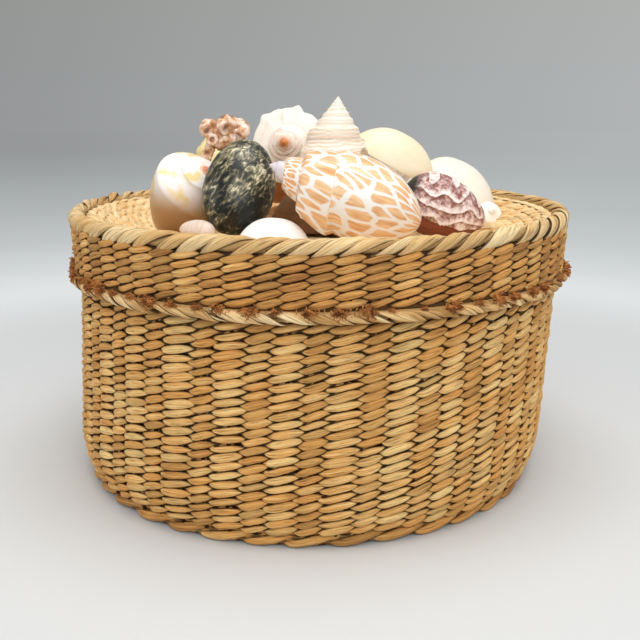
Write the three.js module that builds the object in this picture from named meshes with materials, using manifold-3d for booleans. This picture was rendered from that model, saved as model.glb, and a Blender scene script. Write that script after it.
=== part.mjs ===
// A round woven basket with a lift-off woven lid, and a heap of sea shells fixed on the lid.
// Millimetres, +Z up, front towards -Y. The origin is on the table, under the middle of the lid.

import * as THREE from "three";
import { mergeVertices } from "three/addons/utils/BufferGeometryUtils.js";
import Module from "manifold-3d";

const wasm = await Module();
wasm.setup();

// Driving dimensions of the weave.
const BODY_RADIUS = 101.4; // outside of the basket's belly
const WALL = 4.4; // stakes and both weavers together
const ROW = 3.4; // height of one woven row
const SWELL = 0.6; // how far a row stands out past the hollows above and below it
const BODY_ROWS = 29;
const GAP = 0.3; // between pieces that rest on each other
const SIDES = 30; // facets round the basket

// The basket.
const BASE_THICKNESS = 4.2;
const FOOT_HEIGHT = 6; // twisted border round the bottom edge
const FOOT_WIDTH = 6.4;
const FOOT_TUCK = 4.2; // how far the wall draws in down to the foot
const TUCK_HEIGHT = 13;
const RIM_HEIGHT = 3.6; // twisted border round the mouth
const NECK_DRAW = 1.6; // how far the wall draws in under the lid
const LEAN = 4.6; // the hand-made body stands this far to the left at its foot
const LEAN_TOP = 90; // and upright from this height up

// The lid.
const LID_CLEARANCE = 1.5; // between the neck and the lid's skirt
const LID_WALL = 3.6;
const LID_DISC = 4;
const LID_ROWS = 5; // plain rows on the lid's skirt
const SKIRT_TAPER = 1; // the skirt's outside draws in this much down to the stake ends
const DISH = 9.5; // the middle of the lid lies this far below its edge
const EDGE_ROPE_HEIGHT = 5.2;
const EDGE_ROPE_RISE = 1.5; // how far the edge rope stands above the disc
const EDGE_ROPE_WIDTH = 6.6;
const STUB_HEIGHT = 2.6;
const STUB_REACH = 3.6; // cut stake ends stand out past the skirt
const STAKES = 66; // stake ends round the lid
const TWIST_HEIGHT = 2.7; // finishing row round the lid's lower edge
const TWIST_REACH = 2.2;

// The heap of shells.
const HEAP_GAP = 0.35; // between a shell and what it lies on
const VALVE_WALL = 1.6; // thickness of a clam's or scallop's valve
const LIP_ANGLE = 0.14; // radians taken up by the step at a coiled shell's lip

// Levels and radii that follow.
const NECK_RADIUS = BODY_RADIUS - NECK_DRAW;
const FOOT_RADIUS = BODY_RADIUS - FOOT_TUCK;
const WALL_LOW = FOOT_HEIGHT + GAP;
const WALL_TOP = WALL_LOW + BODY_ROWS * ROW;
const RIM_TOP = WALL_TOP + GAP + RIM_HEIGHT;
const DISC_EDGE_TOP = RIM_TOP + GAP + LID_DISC;
const SKIRT_RADIUS = NECK_RADIUS + LID_CLEARANCE; // inside of the lid's skirt
const LID_RADIUS = SKIRT_RADIUS + LID_WALL;
const ROPE_TOP = DISC_EDGE_TOP + EDGE_ROPE_RISE;
const SKIRT_TOP = ROPE_TOP - EDGE_ROPE_HEIGHT - GAP;
const SKIRT_LOW = SKIRT_TOP - LID_ROWS * ROW;
const STUB_LOW = SKIRT_LOW - GAP - STUB_HEIGHT;
const TWIST_LOW = STUB_LOW - GAP - TWIST_HEIGHT;
const DISC_RADIUS = LID_RADIUS - EDGE_ROPE_WIDTH - GAP;
const SEAT_RADIUS = NECK_RADIUS - WALL - 1; // the disc is level outside this radius

const object = new THREE.Group();

// The weave, ropes and shells are matt to satin, so a material is a colour and a roughness.
function finish(colour, roughness) {
  return new THREE.MeshStandardMaterial({ color: colour, roughness, metalness: 0 });
}

const STRAW = finish("#c49a5a", 0.8);
const PALE_STRAW = finish("#d8b67c", 0.8);
const CUT_STRAW = finish("#9a5e2c", 0.9);

// Joins the vertices that share a place, so that the skin is one closed body.
function joined(geometry) {
  geometry.deleteAttribute("normal");
  geometry.deleteAttribute("uv");
  return mergeVertices(geometry, 1e-4);
}

// Turns every face over where the skin was wound inside out.
function facingOut(geometry) {
  const place = geometry.attributes.position;
  const index = geometry.index.array;
  const corner = [new THREE.Vector3(), new THREE.Vector3(), new THREE.Vector3()];
  let volume = 0;
  for (let i = 0; i < index.length; i += 3) {
    corner.forEach((point, k) => point.fromBufferAttribute(place, index[i + k]));
    volume += corner[0].dot(corner[1].cross(corner[2]));
  }
  if (volume < 0) {
    for (let i = 0; i < index.length; i += 3) {
      const second = index[i + 1];
      index[i + 1] = index[i + 2];
      index[i + 2] = second;
    }
  }
  return geometry;
}

// Revolves a profile of [radius, height] points about the Z axis.
function turned(profile, sides = SIDES) {
  const points = profile.map(([radius, height]) => new THREE.Vector2(radius, height));
  const geometry = new THREE.LatheGeometry(points, sides);
  geometry.rotateX(Math.PI / 2);
  return facingOut(joined(geometry));
}

function add(name, geometry, material) {
  const mesh = new THREE.Mesh(geometry, material);
  mesh.name = name;
  object.add(mesh);
  return mesh;
}

// Smooth step from 0 at low to 1 at high.
function ease(low, high, value) {
  return THREE.MathUtils.smoothstep(value, low, high);
}

// Outside radius of the body: tucked in at the foot, drawn in at the neck under the lid.
function bodyRadius(z) {
  const foot = FOOT_TUCK * (1 - ease(FOOT_HEIGHT - TUCK_HEIGHT / 3, FOOT_HEIGHT + TUCK_HEIGHT, z));
  const neck = NECK_DRAW * ease(TWIST_LOW - ROW * 1.5, TWIST_LOW, z);
  return BODY_RADIUS - foot - neck;
}

// The body leans a little, and stands upright again inside the lid.
function leaned(geometry) {
  const place = geometry.attributes.position;
  for (let i = 0; i < place.count; i += 1) {
    const share = Math.max(0, 1 - place.getZ(i) / LEAN_TOP);
    place.setX(i, place.getX(i) - LEAN * share);
  }
  return geometry;
}

// Section of a woven wall: one swell for each row outside, a smooth face inside.
function wovenWall(low, rows, outerAt, innerAt) {
  const outside = [];
  for (let row = 0; row < rows; row += 1) {
    const hollow = low + row * ROW;
    outside.push([outerAt(hollow) - SWELL, hollow]);
    outside.push([outerAt(hollow + ROW / 2), hollow + ROW / 2]);
  }
  const top = low + rows * ROW;
  outside.push([outerAt(top) - SWELL, top]);
  const inside = [];
  const steps = Math.ceil(rows / 6);
  for (let step = 0; step <= steps; step += 1) {
    const height = top - (step / steps) * (top - low);
    inside.push([innerAt(height), height]);
  }
  return [...outside, ...inside, outside[0]];
}

// Section of a border rope: a flattened round, flat where it stands on something.
function ropeSection(innerRadius, width, low, height, points = 8) {
  const section = [];
  for (let k = 0; k < points; k += 1) {
    const angle = (2 * Math.PI * (k + 0.5)) / points;
    const stretch = 1 / Math.cos(Math.PI / points);
    const across = THREE.MathUtils.clamp((Math.cos(angle) * stretch) / 2, -0.5, 0.5);
    const up = THREE.MathUtils.clamp((Math.sin(angle) * stretch) / 2, -0.5, 0.5);
    section.push([innerRadius + width * (0.5 + across), low + height * (0.5 + up)]);
  }
  return [...section, section[0]];
}

// The basket, from the table up.
const footInner = FOOT_RADIUS - FOOT_WIDTH;
const base = add(
  "basket_base",
  turned([
    [0, 0],
    [footInner - GAP, 0],
    [footInner - GAP, BASE_THICKNESS],
    [0, BASE_THICKNESS],
  ]),
  STRAW,
);
leaned(base.geometry);
const foot = turned(ropeSection(footInner, FOOT_WIDTH, 0, FOOT_HEIGHT));
add("basket_foot_rope", leaned(foot), STRAW);
const bodyWall = wovenWall(WALL_LOW, BODY_ROWS, bodyRadius, (z) => bodyRadius(z) - WALL);
add("basket_wall", leaned(turned(bodyWall)), STRAW);
add("basket_rim_rope", turned(ropeSection(NECK_RADIUS - WALL, WALL, WALL_TOP + GAP, RIM_HEIGHT, 6)), STRAW);

// Height of the lid's upper face: level over the basket's rim, dished inside it.
function discTop(radius) {
  const share = Math.min(1, radius / SEAT_RADIUS);
  return DISC_EDGE_TOP - DISH * (1 - share ** 8);
}

// The disc's rows run round it, so its upper face has a low ridge for every few rows.
function discSection() {
  const ridges = Math.round(SEAT_RADIUS / (ROW * 5));
  const step = SEAT_RADIUS / ridges;
  const upper = [[0, discTop(0)]];
  for (let ridge = 1; ridge <= ridges; ridge += 1) {
    const radius = ridge * step;
    upper.push([radius - step / 2, discTop(radius - step / 2)]);
    upper.push([radius, discTop(radius) - (ridge < ridges ? SWELL / 2 : 0)]);
  }
  upper.push([DISC_RADIUS, DISC_EDGE_TOP]);
  const lower = [[DISC_RADIUS, DISC_EDGE_TOP - LID_DISC]];
  for (const share of [1, 0.95, 0.89, 0.8, 0.66, 0]) {
    const radius = SEAT_RADIUS * share;
    lower.push([radius, discTop(radius) - LID_DISC]);
  }
  return [...upper, ...lower];
}

const lidTop = add("lid_top", turned(discSection()), STRAW);
const edgeRope = add(
  "lid_edge_rope",
  turned(ropeSection(DISC_RADIUS + GAP, EDGE_ROPE_WIDTH, ROPE_TOP - EDGE_ROPE_HEIGHT, EDGE_ROPE_HEIGHT)),
  PALE_STRAW,
);

function skirtOutside(z) {
  return LID_RADIUS - SKIRT_TAPER * ((SKIRT_TOP - z) / (SKIRT_TOP - SKIRT_LOW));
}

add("lid_skirt", turned(wovenWall(SKIRT_LOW, LID_ROWS, skirtOutside, () => SKIRT_RADIUS)), STRAW);

// Ring of cut stake ends: every second column of the ring stands out as one stub.
function stubRing() {
  const low = STUB_LOW;
  const high = STUB_LOW + STUB_HEIGHT;
  const neck = LID_RADIUS - SKIRT_TAPER - SWELL;
  const tip = LID_RADIUS + STUB_REACH;
  const sections = [
    [[SKIRT_RADIUS, low], [neck, low], [neck, high], [SKIRT_RADIUS, high]],
    [[SKIRT_RADIUS, low], [tip, low + STUB_HEIGHT / 4], [tip - 1, high], [SKIRT_RADIUS, high]],
  ];
  const columns = STAKES * 2;
  const places = [];
  const faces = [];
  for (let column = 0; column < columns; column += 1) {
    const angle = (2 * Math.PI * column) / columns;
    for (const [radius, height] of sections[column % 2]) {
      places.push(radius * Math.cos(angle), radius * Math.sin(angle), height);
    }
    for (let k = 0; k < 4; k += 1) {
      const here = column * 4 + k;
      const up = column * 4 + ((k + 1) % 4);
      const across = (here + 4) % (columns * 4);
      const corner = (up + 4) % (columns * 4);
      faces.push(here, across, corner, here, corner, up);
    }
  }
  const geometry = new THREE.BufferGeometry();
  geometry.setAttribute("position", new THREE.Float32BufferAttribute(places, 3));
  geometry.setIndex(faces);
  return facingOut(geometry);
}

add("lid_stake_ends", stubRing(), CUT_STRAW);
const twistWidth = LID_WALL + TWIST_REACH;
add("lid_lower_twist", turned(ropeSection(SKIRT_RADIUS, twistWidth, TWIST_LOW, TWIST_HEIGHT)), PALE_STRAW);

// Skin of a shell: rings of points from one pole to the other, closed at both ends.
function closedSkin(rings, columns, pointAt) {
  const places = [...pointAt(0, 0)];
  for (let ring = 1; ring < rings; ring += 1) {
    for (let column = 0; column < columns; column += 1) {
      places.push(...pointAt(ring / rings, column));
    }
  }
  places.push(...pointAt(1, 0));
  const last = places.length / 3 - 1;
  const faces = [];
  for (let column = 0; column < columns; column += 1) {
    const next = (column + 1) % columns;
    faces.push(0, 1 + column, 1 + next);
    for (let ring = 0; ring < rings - 2; ring += 1) {
      const here = 1 + ring * columns;
      const below = here + columns;
      faces.push(here + column, below + column, below + next);
      faces.push(here + column, below + next, here + next);
    }
    const low = last - columns;
    faces.push(last, low + next, low + column);
  }
  const geometry = new THREE.BufferGeometry();
  geometry.setAttribute("position", new THREE.Float32BufferAttribute(places, 3));
  geometry.setIndex(faces);
  return facingOut(geometry);
}

// Radius of a coiled shell at a depth below its apex. A turn of 0 is just past the lip,
// and a turn of 1 is at the lip, so the whole shell is one spiral that grows with the turn.
function coiledRadius(shell, depth, turn) {
  const suture = shell.length * shell.spire * shell.growth ** (turn - 1);
  const sutureRadius = suture * shell.slope;
  const knob = shell.knobs ? Math.max(0, -Math.cos(2 * Math.PI * shell.knobs * turn)) ** 2 : 0;
  if (depth < suture) {
    const whorls = Math.log(Math.max(depth, 1e-6) / suture) / Math.log(shell.growth);
    const share = whorls - Math.floor(whorls);
    const step = ease(0, shell.ramp, share) * (1 - share) ** 0.8;
    return depth * shell.slope * (1 + shell.step * step);
  }
  const along = (depth - suture) / (shell.length - suture);
  const widest = shell.radius * shell.growth ** ((turn - 1) * shell.flare);
  const shoulder = widest * shell.shoulder;
  const fall = Math.max(0, (along - shell.waist) / (1 - shell.waist));
  const rise = Math.sin((Math.PI / 2) * Math.min(1, along / shell.waist));
  const outline = (shoulder + (widest - shoulder) * rise) * (1 - fall ** shell.fullness) ** shell.round;
  const ramp = ease(0, shell.ramp * 0.6, along);
  let radius = sutureRadius + (outline - sutureRadius) * ramp;
  const bump = Math.exp(-(((along - shell.ramp * 0.8) / 0.12) ** 2));
  radius += (shell.knobHeight ?? 0) * knob * bump;
  const acrossMouth = (turn - shell.mouth / 2) / (shell.mouth / 2);
  const alongMouth = (along - 0.55) / 0.42;
  const reach = acrossMouth ** 2 + alongMouth ** 2;
  const dent = reach < 1 ? (1 - reach) ** 0.5 : 0;
  return Math.max(radius * (1 - shell.hollow * dent), 0.4);
}

// A coiled shell, apex up. It grows clockwise seen from the apex, as nearly all do.
function coiled(shell) {
  const columns = shell.columns ?? 16;
  return closedSkin(shell.rings ?? 18, columns, (share, column) => {
    const depth = shell.length * share ** 1.15;
    const turn = column / (columns - 1);
    const angle = turn * (2 * Math.PI - LIP_ANGLE);
    const pole = share === 0 || share === 1;
    const radius = pole ? 0 : coiledRadius(shell, depth, turn);
    return [radius * Math.cos(angle), -radius * Math.sin(angle), shell.length / 2 - depth];
  });
}

// One valve of a bivalve: a dome over an oval outline, hollow underneath, its beak to +Y.
function valve(shell) {
  const columns = shell.columns ?? 18;
  const rings = shell.rings ?? 12;
  return closedSkin(rings, columns, (share, column) => {
    const inside = share > 0.5;
    const out = Math.sin(Math.PI * share) ** 0.8;
    const angle = (2 * Math.PI * column) / columns;
    const wall = inside ? VALVE_WALL : 0;
    const fan = 1 + (shell.ribHeight ?? 0) * Math.cos((shell.ribs ?? 0) * angle) * out;
    const x = (shell.width / 2 - wall) * out * Math.cos(angle) * fan;
    const y = (shell.height / 2 - wall) * out * Math.sin(angle) * fan;
    const beak = shell.beak * (shell.height / 2) * (1 - out) ** 1.2;
    const dome = (shell.depth - wall) * Math.max(0, 1 - out ** 2.4) ** 0.75;
    return [x, y + beak, dome];
  });
}

// A plain egg-shaped body, its long axis along Z, flattened along Y, narrower at the top.
function egg(shell) {
  const columns = shell.columns ?? 16;
  return closedSkin(shell.rings ?? 12, columns, (share, column) => {
    const polar = Math.PI * share;
    const angle = (2 * Math.PI * column) / columns;
    const frill = 1 + (shell.frillHeight ?? 0) * Math.abs(Math.sin((shell.frills ?? 0) * polar));
    const round = Math.sin(polar) * (1 - shell.narrow * Math.cos(polar)) * frill;
    const x = (shell.width / 2) * round * Math.cos(angle);
    const y = (shell.thickness / 2) * round * Math.sin(angle);
    return [x, y, (shell.length / 2) * Math.cos(polar)];
  });
}

function solidOf(geometry) {
  const clean = joined(geometry);
  return new wasm.Manifold(new wasm.Mesh({
    numProp: 3,
    vertProperties: clean.attributes.position.array,
    triVerts: new Uint32Array(clean.index.array),
  }));
}

function geometryOf(solid) {
  const mesh = solid.getMesh();
  const geometry = new THREE.BufferGeometry();
  geometry.setAttribute("position", new THREE.BufferAttribute(new Float32Array(mesh.vertProperties), 3));
  geometry.setIndex([...mesh.triVerts]);
  return geometry;
}

// A cluster of worm tubes grown together: each is a short coil with an open round mouth.
function wormTubes(tubes) {
  let body = null;
  const bores = [];
  for (const tube of tubes) {
    const steps = 8;
    const points = [];
    for (let k = 0; k <= steps; k += 1) {
      const share = k / steps;
      const angle = tube.start + 2 * Math.PI * tube.turns * share;
      const reach = tube.coil * (0.55 + 0.45 * share);
      const side = new THREE.Vector3(Math.cos(angle) * reach, Math.sin(angle) * reach, tube.rise * share);
      points.push(side.applyEuler(new THREE.Euler(...tube.tilt)).add(new THREE.Vector3(...tube.at)));
    }
    const path = new THREE.CatmullRomCurve3(points);
    const ring = (radius) => new THREE.Shape(
      Array.from({ length: 6 }, (_, k) => new THREE.Vector2(
        radius * Math.cos((k * Math.PI) / 3),
        radius * Math.sin((k * Math.PI) / 3),
      )),
    );
    const outer = new THREE.ExtrudeGeometry(ring(tube.radius), { steps, extrudePath: path });
    const solid = solidOf(outer);
    body = body ? body.add(solid) : solid;
    const end = points[steps];
    const tangent = path.getTangent(1);
    const bore = new THREE.CylinderGeometry(tube.radius * 0.62, tube.radius * 0.5, tube.radius * 3, 6);
    bore.applyQuaternion(new THREE.Quaternion().setFromUnitVectors(new THREE.Vector3(0, 1, 0), tangent));
    bore.translate(end.x, end.y, end.z);
    bores.push(solidOf(bore));
  }
  for (const bore of bores) {
    body = body.subtract(bore);
  }
  return geometryOf(body);
}

// Lowers a shell from above until it lies on what is under it, a skin's gap away.
const resting = [lidTop, edgeRope];
const DOWN = new THREE.Vector3(0, 0, -1);
const UP = new THREE.Vector3(0, 0, 1);
const START_HEIGHT = 400;

function worldPlaces(mesh) {
  const place = mesh.geometry.attributes.position;
  const points = [];
  for (let i = 0; i < place.count; i += 1) {
    points.push(new THREE.Vector3().fromBufferAttribute(place, i).applyMatrix4(mesh.matrixWorld));
  }
  return points;
}

function thickened(geometry, skin) {
  const copy = geometry.clone();
  copy.computeVertexNormals();
  const place = copy.attributes.position;
  const normal = copy.attributes.normal;
  for (let i = 0; i < place.count; i += 1) {
    place.setXYZ(
      i,
      place.getX(i) + normal.getX(i) * skin,
      place.getY(i) + normal.getY(i) * skin,
      place.getZ(i) + normal.getZ(i) * skin,
    );
  }
  return copy;
}

function settle(mesh) {
  const probe = new THREE.Mesh(thickened(mesh.geometry, HEAP_GAP), mesh.material);
  probe.quaternion.copy(mesh.quaternion);
  probe.position.set(mesh.position.x, mesh.position.y, START_HEIGHT);
  probe.updateMatrixWorld();
  const box = new THREE.Box3().setFromObject(probe);
  const ray = new THREE.Raycaster();
  let drop = START_HEIGHT;
  for (const point of worldPlaces(probe)) {
    ray.set(point, DOWN);
    const hit = ray.intersectObjects(resting, false)[0];
    drop = hit ? Math.min(drop, hit.distance) : drop;
  }
  for (const carrier of resting) {
    carrier.updateMatrixWorld();
    for (const point of worldPlaces(carrier)) {
      const near = point.x > box.min.x && point.x < box.max.x && point.y > box.min.y && point.y < box.max.y;
      if (near) {
        ray.set(point, UP);
        const hit = ray.intersectObject(probe, false)[0];
        drop = hit ? Math.min(drop, hit.distance) : drop;
      }
    }
  }
  mesh.position.z = START_HEIGHT - drop;
  mesh.updateMatrixWorld();
  resting.push(mesh);
}

// Lays a shell at a place on the lid: apex gives the way its local Z points, roll turns it about that.
function lay(name, geometry, material, { at, apex, roll = 0 }) {
  const mesh = add(name, geometry, material);
  mesh.quaternion.setFromUnitVectors(UP, new THREE.Vector3(...apex).normalize());
  mesh.rotateZ(THREE.MathUtils.degToRad(roll));
  mesh.position.set(at[0], at[1], 0);
  settle(mesh);
  return mesh;
}

const CREAM = finish("#efe6d8", 0.35);
const WHITE = finish("#f3f0ea", 0.4);
const IVORY = finish("#f1e4c4", 0.4);

// Lowest layer.
lay("small_white_valve", valve({ width: 27, height: 20, depth: 10.3, beak: 0.2, rings: 8, columns: 14 }), WHITE, {
  at: [-16, -77],
  apex: [0.05, 0.25, 0.96],
});
lay(
  "small_pink_shell",
  egg({ length: 16, width: 9, thickness: 8, narrow: 0.15, rings: 8, columns: 10 }),
  finish("#e8cfc2", 0.35),
  { at: [-44, -68], apex: [-0.9, 0.3, 0.05] },
);
lay("small_cockle_valve", valve({ width: 24, height: 21, depth: 9, beak: 0.4, rings: 6, columns: 12 }), IVORY, {
  at: [21, -41],
  apex: [0, 0, 1],
});
lay("large_clam_valve", valve({ width: 56, height: 46, depth: 20, beak: 0.4, rings: 8, columns: 16 }), CREAM, {
  at: [6, -2],
  apex: [0, 0, 1],
});
lay(
  "babylon_shell",
  coiled({
    length: 58, radius: 16.8, growth: 1.6, flare: 0.2, spire: 0.37, slope: 0.72, step: 0.45, ramp: 0.14,
    shoulder: 0.95, waist: 0.33, fullness: 2, round: 0.62, mouth: 0.2, hollow: 0.5, rings: 20, columns: 17,
  }),
  finish("#e7c39a", 0.3),
  { at: [9.5, -71], apex: [-0.93, 0.02, 0.36], roll: 200 },
);
lay(
  "dark_mottled_shell",
  egg({ length: 37.5, width: 26.5, thickness: 20, narrow: 0.06, rings: 12, columns: 14 }),
  finish("#3c3f36", 0.3),
  { at: [-29.3, -58], apex: [0.2, 0.42, 0.9] },
);
lay(
  "inner_turret_shell",
  coiled({
    length: 37, radius: 11, growth: 1.8, flare: 0.2, spire: 0.14, slope: 1.4, step: 0.25, ramp: 0.35,
    shoulder: 0.8, waist: 0.35, fullness: 2, round: 0.6, mouth: 0.22, hollow: 0.5, rings: 10, columns: 12,
  }),
  finish("#d8cbb4", 0.35),
  { at: [-34, -14], apex: [-0.1, 0.1, 0.98], roll: 200 },
);
lay(
  "cream_snail_shell",
  coiled({
    length: 37, radius: 18, growth: 1.7, flare: 0.15, spire: 0.15, slope: 1.3, step: 0.3, ramp: 0.3,
    shoulder: 0.84, waist: 0.28, fullness: 1.8, round: 0.7, mouth: 0.2, hollow: 0.5, rings: 13, columns: 16,
  }),
  CREAM,
  { at: [-52, -40], apex: [0.4, -0.76, 0.5], roll: 305 },
);
lay(
  "speckled_yellow_shell",
  coiled({
    length: 40, radius: 15, growth: 1.9, flare: 0.3, spire: 0.14, slope: 1.4, step: 0.25, ramp: 0.35,
    shoulder: 0.8, waist: 0.35, fullness: 2, round: 0.6, mouth: 0.22, hollow: 0.5, rings: 12, columns: 14,
  }),
  finish("#e6d28a", 0.35),
  { at: [-43, 13], apex: [-0.3, -0.2, 0.93], roll: 40 },
);
lay(
  "purple_frilled_shell",
  egg({ length: 34, width: 25, thickness: 24, narrow: 0.1, frills: 5, frillHeight: 0.08, rings: 15, columns: 14 }),
  finish("#7c4a50", 0.6),
  { at: [47.5, -46], apex: [-0.93, -0.05, 0.34] },
);
lay("white_clam_valve", valve({ width: 44, height: 38, depth: 18, beak: 0.4, rings: 8, columns: 16 }), WHITE, {
  at: [59, 17],
  apex: [0.3, -0.05, 0.95],
  roll: 20,
});
lay(
  "small_white_snail",
  coiled({
    length: 12, radius: 6, growth: 1.8, flare: 0.4, spire: 0.16, slope: 1.2, step: 0.2, ramp: 0.3,
    shoulder: 0.8, waist: 0.35, fullness: 2, round: 0.6, mouth: 0.22, hollow: 0.4, rings: 8, columns: 10,
  }),
  WHITE,
  { at: [71.5, -9], apex: [0.3, -0.8, 0.5] },
);

// Shells behind, out of the photograph's sight.
lay(
  "scallop_valve",
  valve({ width: 54, height: 46, depth: 13, beak: 0.5, ribs: 12, ribHeight: 0.04, rings: 8, columns: 24 }),
  finish("#e2b08c", 0.45),
  { at: [-8, 54], apex: [-0.1, 0.42, 0.9], roll: 180 },
);
lay(
  "brown_cowrie",
  egg({ length: 32, width: 21, thickness: 17, narrow: 0.1, rings: 8, columns: 12 }),
  finish("#8a6244", 0.25),
  { at: [-50, 41], apex: [0.6, 0.8, 0.1] },
);
lay(
  "turban_shell",
  coiled({
    length: 42, radius: 17, growth: 1.6, flare: 0.3, spire: 0.34, slope: 0.75, step: 0.35, ramp: 0.3,
    shoulder: 0.86, waist: 0.3, fullness: 2, round: 0.6, mouth: 0.22, hollow: 0.5, rings: 12, columns: 14,
  }),
  finish("#cdb9a0", 0.35),
  { at: [37, 47], apex: [0.5, 0.75, 0.35], roll: 60 },
);

// Upper layer.
lay(
  "knobbed_conch",
  coiled({
    length: 40, radius: 17, growth: 1.45, flare: 0.15, spire: 0.2, slope: 1.05, step: 0.35, ramp: 0.25,
    shoulder: 0.95, waist: 0.2, fullness: 1.5, round: 0.8, mouth: 0.2, hollow: 0.45, knobs: 7, knobHeight: 1.8,
    rings: 12, columns: 29,
  }),
  finish("#f4ece0", 0.5),
  { at: [-11, 12], apex: [-0.2, -0.95, 0.18], roll: 90 },
);
lay(
  "tall_spire_shell",
  coiled({
    length: 49, radius: 14.5, growth: 1.4, flare: 0.2, spire: 0.42, slope: 0.66, step: 0.2, ramp: 0.3,
    shoulder: 0.9, waist: 0.25, fullness: 1.6, round: 0.8, mouth: 0.2, hollow: 0.45, rings: 17, columns: 15,
  }),
  finish("#ecd2b8", 0.5),
  { at: [6, -24], apex: [0.07, 0.02, 1], roll: 10 },
);
lay("ivory_clam_valve", valve({ width: 38, height: 22, depth: 9, beak: 0.4, rings: 8, columns: 18 }), IVORY, {
  at: [31, -12],
  apex: [0.45, -0.58, 0.68],
  roll: -18,
});
lay(
  "worm_tube_cluster",
  wormTubes([
    { at: [-4, 0, 4], radius: 2.9, coil: 4.2, turns: 1.1, rise: 2, start: 0.5, tilt: [1.3, 0, 0] },
    { at: [4.5, 0, 5], radius: 2.7, coil: 4, turns: 1, rise: 2, start: 3.4, tilt: [1.5, 0.5, 0] },
    { at: [-5, -1, -6], radius: 2.5, coil: 2.6, turns: 0.6, rise: 12, start: 1, tilt: [0.3, -0.3, 0] },
  ]),
  finish("#b98362", 0.55),
  { at: [-37, -20], apex: [0, 0, 1] },
);

export default object;
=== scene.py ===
import math
import random

import bmesh
import bpy
import numpy as np
from mathutils import Matrix, Vector


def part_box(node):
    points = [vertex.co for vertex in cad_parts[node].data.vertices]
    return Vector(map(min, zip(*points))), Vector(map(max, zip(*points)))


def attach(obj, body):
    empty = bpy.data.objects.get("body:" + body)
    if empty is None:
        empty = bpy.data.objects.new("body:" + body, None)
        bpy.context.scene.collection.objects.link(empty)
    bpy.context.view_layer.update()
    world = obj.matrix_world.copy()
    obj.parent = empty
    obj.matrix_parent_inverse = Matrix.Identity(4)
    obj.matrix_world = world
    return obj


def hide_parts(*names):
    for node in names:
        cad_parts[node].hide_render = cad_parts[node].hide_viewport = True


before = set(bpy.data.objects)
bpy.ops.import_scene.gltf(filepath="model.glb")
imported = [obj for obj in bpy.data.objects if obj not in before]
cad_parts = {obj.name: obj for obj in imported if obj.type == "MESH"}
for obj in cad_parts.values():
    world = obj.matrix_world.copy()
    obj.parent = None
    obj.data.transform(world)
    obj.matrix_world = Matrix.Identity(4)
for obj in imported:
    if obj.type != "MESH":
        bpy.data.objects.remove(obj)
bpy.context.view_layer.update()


# The basket's wall: 29 rows, each of two weavers of dried stem twined round upright stakes. The
# weavers change places between two stakes, so every stitch slants up to the right and the
# stitches stand in columns, one weaver golden and wide, the other olive.

WALL_ROWS = 29
ROW = 0.0034
WALL_FOOT = 0.0063
BODY_RADIUS = 0.1014
FOOT_DRAW = 0.0042
NECK_DRAW = 0.0016
LEAN = 0.0046
LEAN_TOP = 0.09
STAKE_DEPTH = 0.0021
BODY_STAKES = 62
WELD = 1e-6


def smooth(low, high, value):
    """Rises from 0 to 1 between low and high, soft at both ends."""
    share = np.clip((value - low) / (high - low), 0.0, 1.0)
    return share * share * (3.0 - 2.0 * share)


def wall_radius(z):
    """The wall's outside: drawn in at the foot, and at the neck where the lid goes over it."""
    foot = FOOT_DRAW * (1.0 - smooth(0.0017, 0.019, z))
    neck = NECK_DRAW * smooth(0.0811, 0.0862, z)
    return BODY_RADIUS - foot - neck


def slope_of(outline, place):
    """How fast an outline changes at a place, taken a millimetre to either side."""
    return (outline(place + 0.001) - outline(place - 0.001)) / 0.002


def leaning(z):
    """How far the hand-made body stands to the left at a height."""
    return -LEAN * max(0.0, 1.0 - z / LEAN_TOP)


def stake_gaps(stakes, uneven, seed):
    """Angles midway between one stake and the next, every second space a little wider."""
    rng = np.random.default_rng(seed)
    wide = 1.0 + uneven * np.where(np.arange(stakes) % 2, -1.0, 1.0)
    wide = wide * (1.0 + 0.05 * rng.standard_normal(stakes))
    gaps = np.concatenate([[0.0], np.cumsum(wide)]) / wide.sum()
    return 2.0 * math.pi * (gaps - gaps[1] / 2.0) + math.pi / 2.0


def flat_grids(name, number, across, up):
    """A mesh of flat grids, whose points are moved into place later, and those points."""
    work = bmesh.new()
    for _ in range(number):
        bmesh.ops.create_grid(work, x_segments=across, y_segments=up, size=1.0)
    mesh = bpy.data.meshes.new(name)
    work.to_mesh(mesh)
    work.free()
    points = np.empty(len(mesh.vertices) * 3)
    mesh.vertices.foreach_get("co", points)
    return mesh, points.reshape(-1, 3)


def standing(name, mesh):
    """An object of its own for a mesh."""
    piece = bpy.data.objects.new(name, mesh)
    bpy.context.scene.collection.objects.link(piece)
    return piece


def valued(mesh, **values):
    """Writes a value for each point of a mesh, which its material reads by name."""
    for key, value in values.items():
        numbers = np.broadcast_to(value, len(mesh.vertices)).astype(np.float32)
        mesh.attributes.new(key, "FLOAT", "POINT").data.foreach_set("value", numbers)


def closed_skin(name, mesh, points, uv_name, places, outward=True, poles=False):
    """Moves a mesh's points, gives it the places of its pattern, and closes its seams.

    Outward turns its faces to the outside, and poles takes away the empty faces where a skin runs to a point.
    """
    mesh.vertices.foreach_set("co", points.ravel())
    corner = np.empty(len(mesh.loops), np.int64)
    mesh.loops.foreach_get("vertex_index", corner)
    mesh.uv_layers.new(name=uv_name).data.foreach_set("uv", places[corner].ravel())
    skin = bmesh.new()
    skin.from_mesh(mesh)
    bmesh.ops.remove_doubles(skin, verts=skin.verts, dist=WELD)
    if poles:
        bmesh.ops.dissolve_degenerate(skin, edges=skin.edges, dist=WELD / 10.0)
    if outward:
        bmesh.ops.recalc_face_normals(skin, faces=skin.faces)
    for face in skin.faces:
        face.smooth = True
    skin.to_mesh(mesh)
    skin.free()
    return standing(name, mesh)


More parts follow.
